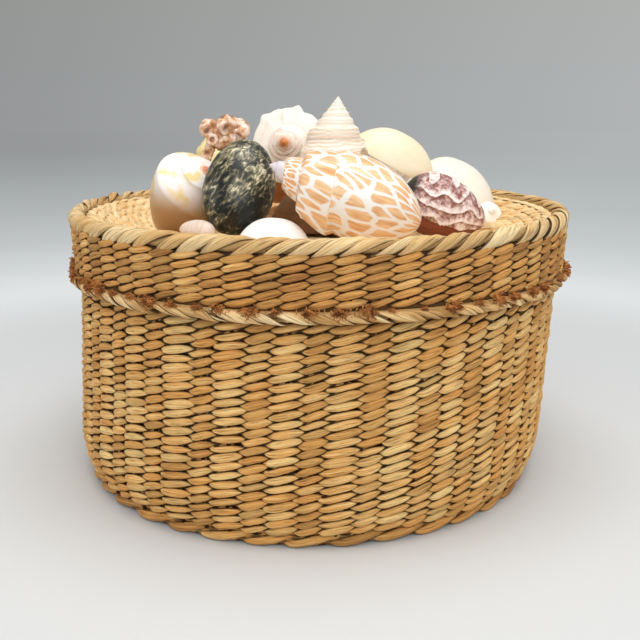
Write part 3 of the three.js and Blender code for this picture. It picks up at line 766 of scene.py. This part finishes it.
def shell_skin(name, ground, line, cloud, amount=0.4, cloudy=0.5, count=(60.0, 3.0, 1.0), roughness=0.35,
               relief=0.00012):
    """A shell's material with its growth lines, its node tree, and the colour it has so far."""
    look, tree = new_look(name, roughness, mirror=0.4)
    grown = wired(tree, "ShaderNodeGroup", {"Ground": ground, "Line": line, "Cloud": cloud, "Amount": amount,
                                            "Cloudy": cloudy, "Count": count}, node_tree=LINES).outputs
    painted(tree, grown["Color"], grown["Height"], 0.5, relief)
    return look, tree, grown["Color"]


def plain_skin(name, *colours, **measures):
    """The material alone, for a shell with nothing but its growth lines."""
    return shell_skin(name, *colours, **measures)[0]


babylon = {"length": 0.058, "radius": 0.0162, "growth": 2.05, "flare": 0.2, "spire": 0.47, "slope": 0.64,
           "step": 0.4, "ramp": 0.14, "shoulder": 0.95, "waist": 0.33, "fullness": 2.0, "round": 0.62,
           "mouth": 0.2, "hollow": 0.5}
babylon_shell = spiral_shell("babylon_shell_glossy", "babylon_shell", babylon,
                             apex=(-0.93, 0.02, 0.36), roll=200, rings=200, columns=230)
netted, tree, skin = shell_skin("netted_shell", "#fbd2a0", "#b2662a", "#eea25e", amount=0.6, cloudy=0.7,
                                count=(110.0, 0.8, 1.0), roughness=0.24)
whorl = pattern_place(tree, "whorl")
bent = wired(tree, "ShaderNodeTexNoise", {"Vector": stretched(tree, whorl, (11.0, 0.8, 1.0)), "Scale": 1.0,
                                          "Detail": 1.0})
swayed = wired(tree, "ShaderNodeVectorMath", {0: bent.outputs["Color"], 1: (0.05, 0.5, 0.0), 2: whorl},
               operation="MULTIPLY_ADD")
meshes = {"Vector": stretched(tree, swayed.outputs[0], (23.0, 1.45, 1.0)), "Scale": 1.0, "Randomness": 0.95}
from_thread = wired(tree, "ShaderNodeTexVoronoi", meshes, voronoi_dimensions="2D", feature="DISTANCE_TO_EDGE")
from_middle = wired(tree, "ShaderNodeTexVoronoi", meshes, voronoi_dimensions="2D", feature="F1")
rounded = worked(tree, "SUBTRACT", 0.72, from_middle.outputs["Distance"])
inside = worked(tree, "SMOOTH_MIN", from_thread.outputs["Distance"], rounded, 0.12)
skin = blended(tree, ranged(tree, inside, 0.09, 0.17, 1.0, 0.0), skin, "#fbf6f0")
first_whorls = ranged(tree, parts_of(tree, whorl)["X"], -2.15, -1.6, 1.0, 0.0)
painted(tree, blended(tree, first_whorls, skin, "#e2dade"))
finished(babylon_shell, netted, "lid", "patterned_shell", "babylon_shell")


# The dark egg-shaped shell that stands beside it: polished, near black-green, covered with pale
# olive flecks that run up to the right.


def egg_points(shell, rings, columns):
    """Points and places on the skin of an egg-shaped body, its long axis upright."""
    share, column = np.meshgrid(np.arange(rings + 1) / rings, np.arange(columns + 1), indexing="ij")
    polar = math.pi * share
    angle = 2.0 * math.pi * column / columns
    round_it = np.sin(polar) * (1.0 - shell["narrow"] * np.cos(polar))
    points = np.stack([shell["width"] / 2.0 * round_it * np.cos(angle),
                       shell["thickness"] / 2.0 * round_it * np.sin(angle),
                       shell["length"] / 2.0 * np.cos(polar)], axis=-1)
    return points, np.stack([angle / (2.0 * math.pi), share], axis=-1)


points, places = egg_points({"length": 0.0375, "width": 0.0265, "thickness": 0.02, "narrow": 0.06}, 80, 100)
dark_shell = laid("dark_mottled_shell_polished", "dark_mottled_shell", points, places,
                  apex=(0.2, 0.42, 0.9), roll=0)
flecked, tree = new_look("flecked_dark_shell", 0.3)
place = own_place(tree)
slanted = wired(tree, "ShaderNodeMapping", {"Vector": place, "Rotation": (0.0, math.radians(42.0), 0.0),
                                            "Scale": (0.0016, 0.0022, 0.0042)}, vector_type="TEXTURE")
flecks = clouds(tree, slanted.outputs[0], 1.0, 5.0, Roughness=0.6, Distortion=1.0)
drift = ranged(tree, clouds(tree, place, 95.0, 2.0), 0.3, 0.7, -0.12, 0.12, clamp=False)
# Painted light: the marble turns paler towards the top of the shell, where the light falls.
painted_top_light = ranged(tree, parts_of(tree, place)["Z"], 0.118, 0.146, -0.02, 0.05)
marble = worked(tree, "ADD", flecks, worked(tree, "ADD", drift, painted_top_light))
skin = graded(tree, marble, (0.4, "#0c0f0c"), (0.45, "#212322"), (0.5, "#3f3c2a"), (0.56, "#6e664a"),
              (0.62, "#9c9272"), (0.7, "#dcd4b8"))
painted(tree, skin, flecks, 0.5, 0.00035)
finished(dark_shell, flecked, "lid", "dark_shell", "dark_mottled_shell")


# The broad-shouldered cream shell at the left, its spire to the right: pearly, faint pink rings
# at its sutures, a few yellow blotches, tan towards its narrow base, and painted shade in brown underneath.


def suture_rings(tree, across, reach, width, strength, spire_end):
    """How much of a ring's colour a point of the spire has, most where two whorls meet."""
    ring = ranged(tree, worked(tree, "FRACT", across), 0.0, width, strength, 0.0)
    return worked(tree, "MULTIPLY", ring, ranged(tree, reach, 0.0, spire_end, 1.0, 0.0))


snail = {"length": 0.044, "radius": 0.0164, "growth": 1.8, "flare": 0.15, "spire": 0.13, "slope": 1.9,
         "step": 0.1, "ramp": 0.3, "shoulder": 0.9, "waist": 0.14, "fullness": 1.8, "round": 0.8,
         "mouth": 0.2, "hollow": 0.5}
snail_shell = spiral_shell("cream_snail_shell_pearly", "cream_snail_shell", snail,
                           apex=(0.52, -0.58, 0.63), roll=20)
pearly, tree, skin = shell_skin("pearly_shell", "#fbf6f0", "#f6e2d4", "#f8eee6", amount=0.3, cloudy=0.5,
                                count=(50.0, 2.0, 1.0), roughness=0.3)
place = own_place(tree)
parts = parts_of(tree, pattern_place(tree, "whorl"))
reach = value_of(tree, "reach")
skin = blended(tree, ranged(tree, clouds(tree, place, 95.0, 2.0), 0.55, 0.63, 0.0, 0.85), skin, "#f6d77e")
base = ranged(tree, reach, 0.2, 0.75, interpolation_type="SMOOTHSTEP")
skin = blended(tree, base, skin, "#eac79c")
skin = blended(tree, suture_rings(tree, parts["Y"], reach, 0.16, 0.45, 0.02), skin, "#e6a98c")
skin = blended(tree, ranged(tree, parts["X"], -2.9, -1.9, 1.0, 0.0), skin, "#e08a5e")
# Painted shade: the shell turns brown towards the bottom, where no light falls.
painted_shade_below = ranged(tree, parts_of(tree, place)["Z"], 0.115, 0.129, 0.9, 0.0, interpolation_type="SMOOTHSTEP")
painted(tree, blended(tree, painted_shade_below, skin, "#a8783e"))
finished(snail_shell, pearly, "lid", "cream_shell", "cream_snail_shell")


# The frilled shell at the right: rows of pinkish white scalloped frills over maroon, greyish
# above, smooth and dark brown-red below, with a dark green beak at its left end.

frilled = {"length": 0.034, "width": 0.025, "thickness": 0.024, "narrow": -0.22}
points, places = egg_points(frilled, 150, 260)
beak_axis = Vector((-0.93, -0.05, 0.34)).normalized()
lying = np.array(Vector((0.0, 0.0, 1.0)).rotation_difference(beak_axis).to_matrix())
frilled_side = Vector((0.0, -0.35, 1.0))
upward = lying.T @ np.array(frilled_side - beak_axis * beak_axis.dot(frilled_side))
upward = upward / np.linalg.norm(upward)
lengthwise = places[:, :, 1]
breadth = np.sin(math.pi * lengthwise) * frilled["thickness"] / 2.0 + 0.001
height = np.clip(points @ upward / breadth, -1.0, 1.0)
frill_row = 3.1 * (1.0 - height) + 0.3 * np.sin(11.0 * lengthwise) + 0.2 * np.sin(29.0 * lengthwise + 2.0)
scallop = np.abs(np.sin(17.0 * lengthwise + 2.3 * np.floor(frill_row)))
frill_row = frill_row + 0.3 * scallop * smooth(-0.5, 0.0, height)
hanging = frill_row - np.floor(frill_row)
frilly_part = smooth(-0.16, -0.06, height) * np.sin(math.pi * lengthwise) ** 0.4
lifted = hanging**2.5 * frilly_part
across_axis = points * np.array([1.0, 1.0, 0.0])
points = points + across_axis * (0.13 * lifted - 0.05)[..., None]
points = points - upward * (0.0009 * lifted)[..., None]
frilled_shell = laid("purple_frilled_shell_rough", "purple_frilled_shell", points, places,
                     apex=beak_axis, roll=0,
                     reach=np.where(frilly_part > 0.3, 0.25 + 0.75 * lifted, 0.25 * frilly_part))
frilly, tree, skin = shell_skin("frilled_shell", "#93503c", "#5a2a1a", "#82442e", amount=0.6, cloudy=0.9,
                                count=(90.0, 14.0, 1.0), roughness=0.55, relief=0.0003)
reach = value_of(tree, "reach")
crumbs = clouds(tree, own_place(tree), 520.0, 4.0, Roughness=0.65)
crumbled = worked(tree, "ADD", reach, ranged(tree, crumbs, 0.35, 0.65, -0.3, 0.3, clamp=False))
frills = graded(tree, crumbled, (0.12, "#8e5850"), (0.28, "#b88e88"), (0.45, "#d6b8b0"), (0.62, "#ecd8d0"),
                (0.85, "#fdeee8"))
skin = blended(tree, ranged(tree, reach, 0.2, 0.26), skin, frills)
beak = ranged(tree, parts_of(tree, pattern_place(tree, "whorl"))["Y"], 0.16, 0.27, 1.0, 0.0,
              interpolation_type="SMOOTHSTEP")
painted(tree, blended(tree, beak, skin, "#2c2c24"))
finished(frilled_shell, frilly, "lid", "purple_shell", "purple_frilled_shell")


# The valves, each one half of a clam: thin domes with fine rings of growth, lying with their
# hollow side down. The ivory one is tilted and painted warmer below as shade; the scallop's is ribbed.
# The large clam, deep in the heap, is painted dark brown as the shade it lies in.

VALVE_WALL = 0.0016


def valve_shell(node, finish, shell, look, slot, apex, roll, rings=80, columns=110, shift=(0.0, 0.0, 0.0)):
    """A valve as one closed skin: out over its dome to the rim, and back underneath."""
    share, column = np.meshgrid(np.arange(rings + 1) / rings, np.arange(columns + 1), indexing="ij")
    out = np.sin(math.pi * share) ** 0.8
    angle = 2.0 * math.pi * column / columns
    wall = np.where(share > 0.5, VALVE_WALL, 0.0)
    fan = 1.0 + shell.get("rib_height", 0.0) * np.cos(shell.get("ribs", 0) * angle) * out
    beak = shell["beak"] * shell["height"] / 2.0 * (1.0 - out) ** 1.2
    dome = (shell["depth"] - wall) * np.clip(1.0 - out**2.4, 0.0, 1.0) ** 0.75
    points = np.stack([(shell["width"] / 2.0 - wall) * out * np.cos(angle) * fan,
                       (shell["height"] / 2.0 - wall) * out * np.sin(angle) * fan + beak, dome], axis=-1)
    places = np.stack([angle / (2.0 * math.pi), out], axis=-1)
    valve = laid(f"{node}_{finish}", node, points, places, apex, roll)
    valve.data.transform(Matrix.Translation(shift))
    finished(valve, look, "lid", slot, node)


chalky = plain_skin("chalky_white_valve", "#fbfaf6", "#efece4", "#f6f3ee", amount=0.4, cloudy=0.5,
                    count=(3.0, 26.0, 1.0), roughness=0.42)
white_clam = plain_skin("white_clam_shell", "#fcf5e6", "#f4e2cc", "#f8ecd8", amount=0.4, cloudy=0.6,
                        count=(3.0, 26.0, 1.0), roughness=0.4)
# Painted shade: the large clam deep in the heap is coloured dark brown as the shade there.
shade_brown_clam = plain_skin("shade_brown_clam_shell", "#6c4422", "#472810", "#875a32", amount=0.5, cloudy=0.7,
                      count=(3.0, 30.0, 1.0), roughness=0.45)
scalloped = plain_skin("scallop_valve", "#e9b892", "#c4754e", "#f3d8c0", amount=0.55, cloudy=0.5,
                       count=(12.0, 14.0, 1.0), roughness=0.45)
ivory, tree, skin = shell_skin("ivory_valve", "#fcefd0", "#f6ddb0", "#fae6bc", amount=0.4, cloudy=0.6,
                               count=(3.0, 24.0, 1.0), roughness=0.36)
# Painted shade: the valve is tinted warmer and darker towards the bottom.
painted_shade_below = ranged(tree, parts_of(tree, own_place(tree))["Z"], 0.124, 0.131, 1.0, 0.0,
               interpolation_type="SMOOTHSTEP")
painted(tree, blended(tree, 1.0, skin, blended(tree, painted_shade_below, "#ffffff", "#e8c690"), blend_type="MULTIPLY"))

valve_shell("small_white_valve", "smooth", {"width": 0.027, "height": 0.02, "depth": 0.0103, "beak": 0.2},
            chalky, "white_shell", apex=(0.05, 0.25, 0.96), roll=0)
valve_shell("small_cockle_valve", "smooth", {"width": 0.024, "height": 0.021, "depth": 0.009, "beak": 0.4},
            chalky, "ivory_shell", apex=(0.0, 0.0, 1.0), roll=0)
valve_shell("large_clam_valve", "smooth", {"width": 0.056, "height": 0.046, "depth": 0.02, "beak": 0.4},
            shade_brown_clam, "cream_shell", apex=(0.0, 0.0, 1.0), roll=0)
valve_shell("white_clam_valve", "smooth", {"width": 0.044, "height": 0.038, "depth": 0.018, "beak": 0.4},
            white_clam, "white_shell", apex=(0.3, -0.05, 0.95), roll=20)
valve_shell("ivory_clam_valve", "smooth", {"width": 0.04, "height": 0.024, "depth": 0.0145, "beak": 0.4},
            ivory, "ivory_shell", apex=(0.48, 0.02, 0.88), roll=0, shift=(-0.001, 0.0, -0.0016))
valve_shell("scallop_valve", "ribbed",
            {"width": 0.054, "height": 0.046, "depth": 0.013, "beak": 0.5, "ribs": 12, "rib_height": 0.04},
            scalloped, "scallop_shell", apex=(-0.1, 0.42, 0.9), roll=180, columns=168)


# The tall spire at the top of the heap: ivory, with fine raised cords along its whorls and wavy
# peach ones on the last.

SPIRE_CORDS = 3.0

spire = {"length": 0.049, "radius": 0.0145, "growth": 1.4, "flare": 0.2, "spire": 0.42, "slope": 0.66,
         "step": 0.2, "ramp": 0.3, "shoulder": 0.9, "waist": 0.25, "fullness": 1.6, "round": 0.8,
         "mouth": 0.2, "hollow": 0.45, "cords": (SPIRE_CORDS, 0.0001)}
spire_shell = spiral_shell("tall_spire_shell_corded", "tall_spire_shell", spire,
                           apex=(0.07, 0.02, 1.0), roll=10)
corded, tree, skin = shell_skin("corded_shell", "#fcf3e4", "#f2d3b2", "#f9e8d0", amount=0.4, cloudy=0.5,
                                count=(3.0, 5.0, 1.0), roughness=0.45)
whorl = pattern_place(tree, "whorl")
parts = parts_of(tree, whorl)
waves = clouds(tree, stretched(tree, whorl, (7.0, 0.6, 1.0)), 1.0, 2.0)
swing = worked(tree, "MULTIPLY_ADD", waves, 0.9, parts["Y"])
cord = worked(tree, "SINE", worked(tree, "MULTIPLY", swing, SPIRE_CORDS * 2.0 * math.pi))
last_whorl = ranged(tree, parts["X"], -2.2, -0.6, 0.05, 1.0)
peachy = worked(tree, "MULTIPLY", ranged(tree, cord, 0.1, 0.9, 0.0, 0.6), last_whorl)
painted(tree, blended(tree, peachy, skin, "#e8b083"))
finished(spire_shell, corded, "lid", "spire_shell", "tall_spire_shell")


# The knobbed conch behind it, with its peach spire towards the viewer: matt white, a row of
# blunt knobs on its shoulder.

conch = {"length": 0.04, "radius": 0.017, "growth": 1.45, "flare": 0.15, "spire": 0.2, "slope": 1.05,
         "step": 0.35, "ramp": 0.25, "shoulder": 0.95, "waist": 0.2, "fullness": 1.5, "round": 0.8,
         "mouth": 0.2, "hollow": 0.45, "knobs": 7, "knob_height": 0.0018}
conch_shell = spiral_shell("knobbed_conch_matt", "knobbed_conch", conch,
                           apex=(-0.2, -0.95, 0.18), roll=90)
spired, tree, skin = shell_skin("peach_spired_conch", "#fcf8f0", "#f8e9d8", "#fbf2e6", amount=0.4, cloudy=0.5,
                                count=(45.0, 2.0, 1.0), roughness=0.45)
parts = parts_of(tree, pattern_place(tree, "whorl"))
blush = blended(tree, ranged(tree, parts["X"], -4.6, -1.6, 1.0, 0.0), "#fffdfa", "#dd8d4c")
skin = blended(tree, 1.0, skin, blush, blend_type="MULTIPLY")
rings = suture_rings(tree, parts["Y"], value_of(tree, "reach"), 0.3, 0.5, 0.1)
painted(tree, blended(tree, rings, skin, "#de9068"))
finished(conch_shell, spired, "lid", "conch_shell", "knobbed_conch")


# The other spiral shells: a yellow one of which little shows, one inside the heap that carries
# the others, painted dark brown as the shade it lies in, a turban behind, and a small white snail at the far
# right.

yellow_skin = plain_skin("yellow_shell", "#f6e2a4", "#c9a552", "#fbf0c4", amount=0.5, cloudy=0.8,
                         count=(30.0, 3.0, 1.0), roughness=0.36)
yellow = {"length": 0.04, "radius": 0.015, "growth": 1.9, "flare": 0.3, "spire": 0.14, "slope": 1.4,
          "step": 0.25, "ramp": 0.35, "shoulder": 0.8, "waist": 0.35, "fullness": 2.0, "round": 0.6,
          "mouth": 0.22, "hollow": 0.5}
yellow_shell = spiral_shell("speckled_yellow_shell_glossy", "speckled_yellow_shell", yellow,
                            apex=(-0.3, -0.2, 0.93), roll=40, rings=100, columns=110)
finished(yellow_shell, yellow_skin, "lid", "yellow_shell", "speckled_yellow_shell")

# Painted shade: the shell inside the heap is coloured dark brown.
shade_dark_turret_skin = plain_skin("turret_shell", "#7a5430", "#4c2e16", "#967248", amount=0.5, cloudy=0.7,
                         count=(40.0, 3.0, 1.0), roughness=0.4)
turret = dict(yellow, length=0.037, radius=0.011, growth=1.8, flare=0.2)
turret_shell = spiral_shell("inner_turret_shell_banded", "inner_turret_shell", turret,
                            apex=(-0.1, 0.1, 0.98), roll=200, rings=100, columns=110)
finished(turret_shell, shade_dark_turret_skin, "lid", "turret_shell", "inner_turret_shell")

turban_skin = plain_skin("turban_shell", "#cdb89c", "#8c6a48", "#e6d8c2", amount=0.6, cloudy=0.8,
                         count=(34.0, 5.0, 1.0), roughness=0.38)
turban = dict(yellow, length=0.042, radius=0.017, growth=1.6, spire=0.34, slope=0.75, step=0.35, ramp=0.3,
              shoulder=0.86, waist=0.3)
turban_shell = spiral_shell("turban_shell_banded", "turban_shell", turban,
                            apex=(0.5, 0.75, 0.35), roll=60,
                            rings=120, columns=120)
finished(turban_shell, turban_skin, "lid", "turban_shell", "turban_shell")

matt_white = plain_skin("matt_conch", "#fcf8f0", "#f8e9d8", "#fbf2e6", amount=0.4, cloudy=0.5,
                        count=(45.0, 2.0, 1.0), roughness=0.5)
small_snail = dict(yellow, length=0.012, radius=0.006, growth=1.8, flare=0.4, spire=0.16, slope=1.2,
                   step=0.2, ramp=0.3, hollow=0.4)
white_snail = spiral_shell("small_white_snail_smooth", "small_white_snail", small_snail,
                           apex=(0.3, -0.8, 0.5), roll=0, rings=70, columns=80)
finished(white_snail, matt_white, "lid", "white_shell", "small_white_snail")


# The two small egg-shaped shells: a pale pink one between the cream shell and the dark one, and
# a glossy brown cowrie behind, glued down on their sides.

points, places = egg_points({"length": 0.014, "width": 0.008, "thickness": 0.007, "narrow": 0.15}, 50, 60)
pink_shell = laid("small_pink_shell_glossy", "small_pink_shell", points, places,
                  apex=(-0.9, 0.3, 0.05), roll=0)
pink_skin = plain_skin("pink_shell", "#e8d2c2", "#cfa68e", "#f2e2d4", amount=0.5, cloudy=0.6,
                       count=(4.0, 20.0, 1.0), roughness=0.3)
finished(pink_shell, pink_skin, "lid", "pink_shell", "small_pink_shell")

points, places = egg_points({"length": 0.032, "width": 0.021, "thickness": 0.017, "narrow": 0.1}, 70, 90)
cowrie = laid("brown_cowrie_glossy", "brown_cowrie", points, places, apex=(0.6, 0.8, 0.1), roll=0)
cowrie_skin = plain_skin("cowrie_shell", "#8a5f3e", "#4f2f1a", "#c49a6c", amount=0.5, cloudy=0.9,
                         count=(5.0, 12.0, 1.0), roughness=0.16)
finished(cowrie, cowrie_skin, "lid", "cowrie_shell", "brown_cowrie")


# The knot of worm tubes on top, at the left: hard glossy tubes, orange-pink to brown, grown
# together, with open round mouths that face the viewer. Sizes of its tubes are in millimetres.

LIP = 0.84


def open_tube(bundle, radius, path, seed, steps=64, sides=20):
    """A hard tube along a path, ringed by its growth, with a rounded lip and a bore at its end."""
    rng = np.random.default_rng(seed)
    knots = np.array(path, float)
    knots = np.vstack([2.0 * knots[0] - knots[1], knots, 2.0 * knots[-1] - knots[-2]])
    s = np.linspace(0.0, 1.0, steps + 1)
    run = np.clip(s / LIP, 0.0, 1.0) - 0.3 * np.clip((s - 0.88) / 0.12, 0.0, 1.0)
    at = run * (len(path) - 1)
    part = np.minimum(at.astype(int), len(path) - 2)
    u = (at - part)[:, None]
    p0, p1, p2, p3 = (knots[part + j] for j in range(4))
    middle = 0.5 * (2.0 * p1 + (p2 - p0) * u + (2.0 * p0 - 5.0 * p1 + 4.0 * p2 - p3) * u**2
                    + (3.0 * p1 - p0 - 3.0 * p2 + p3) * u**3)
    heading = 0.5 * ((p2 - p0) + 2.0 * (2.0 * p0 - 5.0 * p1 + 4.0 * p2 - p3) * u
                     + 3.0 * (3.0 * p1 - p0 - 3.0 * p2 + p3) * u**2)
    heading = heading / np.linalg.norm(heading, axis=1)[:, None]
    outer = radius * (1.0 + 0.05 * np.sin(38.0 * run + seed) + 0.03 * np.sin(15.0 * run))
    outer = outer * np.minimum(1.0, 0.55 + 2.0 * run)
    wide = np.where(s < LIP, outer, radius * (1.08 - 0.6 * smooth(LIP, 0.9, s)))
    wide = wide * np.sqrt(np.clip(s / 0.03, 0.0, 1.0)) * np.sqrt(np.clip((1.0 - s) / 0.03, 0.0, 1.0))
    first = len(bundle.verts)
    bmesh.ops.create_grid(bundle, x_segments=sides, y_segments=steps, size=1.0)
    bundle.verts.ensure_lookup_table()
    side = np.cross(heading, (0.13, 0.31, 0.94))
    side = side / np.linalg.norm(side, axis=1)[:, None]
    other = np.cross(heading, side)
    lump = 1.0 + 0.06 * rng.standard_normal(sides)
    for j in range(steps + 1):
        for i in range(sides + 1):
            turned = 2.0 * math.pi * i / sides
            spot = middle[j] + wide[j] * lump[i % sides] ** 0.5 * (side[j] * math.cos(turned)
                                                                 + other[j] * math.sin(turned))
            bundle.verts[first + j * (sides + 1) + i].co = Vector(spot * 0.001)


tubes = bmesh.new()
for k, (radius, path) in enumerate((
        (2.5, [(-1, 3, -3), (-3.5, 3, 1.5), (-5.4, 1, 2.4), (-6.2, -2.5, 0.8), (-5, -5.5, 0)]),
        (2.2, [(-1, 2, -4), (-3.0, 0, -5), (-3.4, -3, -3.2), (-3.2, -6, -3.2)]),
        (2.7, [(4, 4, -6), (4.5, 2, 2), (1.8, 0.5, 3.6), (0.8, -2.5, 2.4), (2.5, -5.5, 1.0)]),
        (2.7, [(0, 3, -3), (4, 3, 2), (7.6, 1, 2.0), (9.0, -2, 0.2), (7, -4, -1.8)]),
        (3.2, [(3, 2, -4), (1, 0, -1.5), (-1.5, -1, -2), (-3, 0, -5)]),
        (3.0, [(6.5, 0, -3), (4, -1, -3), (1, -1.5, -3.5), (-2, -0.5, -5)]),
        (2.1, [(-3, 0, -3), (-4.6, -1.5, -6.5), (-6.0, -2.5, -10), (-7.0, -3.5, -14)]))):
    open_tube(tubes, radius, path, 50 + k)
bmesh.ops.remove_doubles(tubes, verts=tubes.verts, dist=WELD)
bmesh.ops.recalc_face_normals(tubes, faces=tubes.faces)
low, high = (np.array(p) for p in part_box("worm_tube_cluster"))
spread = np.array([v.co[:] for v in tubes.verts])
to_place = Vector((low + high) / 2.0 - (spread.min(0) + spread.max(0)) / 2.0)
bmesh.ops.translate(tubes, verts=tubes.verts, vec=to_place)
worm_tubes = shaped("worm_tubes_glossy", tubes)
tube_skin, tree = new_look("worm_tube_skin", 0.28)
lumps = clouds(tree, own_place(tree), 300.0, 3.0)
skin = graded(tree, lumps, (0.3, "#84502e"), (0.46, "#e0ab7e"), (0.6, "#fdeadb"))
painted(tree, skin, lumps, 0.6, 0.0004)
finished(worm_tubes, tube_skin, "lid", "worm_tube", "worm_tube_cluster")


# The table and the background: a pale floor that fades with distance into grey, where it glows with
# painted light, brighter at the right, before a backdrop painted brighter at the right too. Neither is
# part of the object.

BACKGROUND = "#97999a"
VIEW_SIDE = 0.33

floor = bmesh.new()
bmesh.ops.create_circle(floor, cap_ends=True, segments=64, radius=4.0)
floor_piece = shaped("floor", floor, soft=False)
floor_look, tree = new_look("pale_floor", 0.9)
shader = tree.nodes["Principled BSDF"]
shader.inputs["Base Color"].default_value = colour("#dcdede")
place = own_place(tree)
far = wired(tree, "ShaderNodeVectorMath", {0: place}, operation="LENGTH").outputs["Value"]
fade = graded(tree, ranged(tree, far, 0.4, 2.4), (0.0, "#e8ebec"), (0.06, "#d6dadb"), (0.14, "#c4c8c9"),
              (0.3, "#b2b6b7"), (0.6, "#a1a5a6"), (1.0, BACKGROUND))
aside = worked(tree, "DIVIDE", parts_of(tree, place)["X"], far)
brighter = worked(tree, "MULTIPLY", ranged(tree, aside, -VIEW_SIDE, VIEW_SIDE), ranged(tree, far, 0.5, 2.4))
strong = worked(tree, "MULTIPLY_ADD", brighter, 0.45, 0.98)
# Painted light: beyond the basket the floor glows in a grey that darkens with distance and brightens to the
# right.
painted_floor_glow = wired(tree, "ShaderNodeEmission", {"Color": fade, "Strength": strong})
away = ranged(tree, far, 0.26, 0.46, interpolation_type="SMOOTHSTEP")
mix = wired(tree, "ShaderNodeMixShader", {0: away, 1: shader.outputs[0], 2: painted_floor_glow.outputs[0]})
tree.links.new(mix.outputs[0], tree.nodes["Material Output"].inputs["Surface"])
floor_piece.data.materials.append(floor_look)

world = bpy.data.worlds.new("studio")
bpy.context.scene.world = world
world.use_nodes = True
tree = world.node_tree
backdrop = tree.nodes["Background"]
parts = parts_of(tree, wired(tree, "ShaderNodeTexCoord").outputs["Generated"])
sky = blended(tree, ranged(tree, parts["Z"], 0.0, 0.12), BACKGROUND, "#959794")
tree.links.new(sky, backdrop.inputs["Color"])
# Painted light: the backdrop seen by the camera is brighter at the right.
tree.links.new(ranged(tree, parts["X"], -VIEW_SIDE, VIEW_SIDE, 0.98, 1.43), backdrop.inputs["Strength"])


# The soft studio light: an even light from all round, which the camera doesn't see, and four soft
# lamps. The camera stands where the photograph was taken from.

lamp_sky = wired(tree, "ShaderNodeBackground", {"Color": "#ffffff", "Strength": 0.36})
ray = wired(tree, "ShaderNodeLightPath").outputs
seen = worked(tree, "MAXIMUM", ray["Is Camera Ray"], ray["Is Glossy Ray"])
seen = worked(tree, "MAXIMUM", seen, ray["Is Transmission Ray"])
choice = wired(tree, "ShaderNodeMixShader", {0: seen, 1: lamp_sky.outputs[0], 2: backdrop.outputs[0]})
tree.links.new(choice.outputs[0], tree.nodes["World Output"].inputs["Surface"])


def softbox(name, place, towards, size, power):
    """A round lamp with soft edges, turned to a point."""
    lamp = bpy.data.lights.new(name, "AREA")
    lamp.shape = "DISK"
    lamp.size = size
    lamp.energy = power
    piece = standing(name, lamp)
    piece.location = place
    piece.rotation_euler = (Vector(towards) - Vector(place)).to_track_quat("-Z", "Y").to_euler()


softbox("lamp_above", (0.08, -0.1, 1.0), (0.0, 0.0, 0.06), 0.8, 5.4)
softbox("lamp_front", (0.06, -1.1, 0.75), (0.0, 0.0, 0.07), 0.9, 6.2)
softbox("lamp_left", (-1.1, -0.35, 0.5), (0.0, 0.0, 0.06), 0.9, 2.6)
softbox("lamp_right", (1.1, -0.35, 0.5), (0.0, 0.0, 0.06), 0.9, 1.4)

PHOTO_WIDTH = 640.0
FOCAL_PIXELS = 918.7
CENTRE_PIXEL = 318.8
LOOKING_DOWN = 13.76

camera = bpy.data.cameras.new("camera")
camera.sensor_width = 36.0
camera.lens = 36.0 * FOCAL_PIXELS / PHOTO_WIDTH
camera.shift_x = (PHOTO_WIDTH / 2.0 - CENTRE_PIXEL) / PHOTO_WIDTH
camera.clip_start = 0.01
camera_piece = standing("camera", camera)
camera_piece.location = (0.0, -0.399, 0.1594)
camera_piece.rotation_euler = (math.radians(90.0 - LOOKING_DOWN), 0.0, 0.0)
bpy.context.scene.camera = camera_piece
bpy.context.scene.view_settings.view_transform = "Standard"
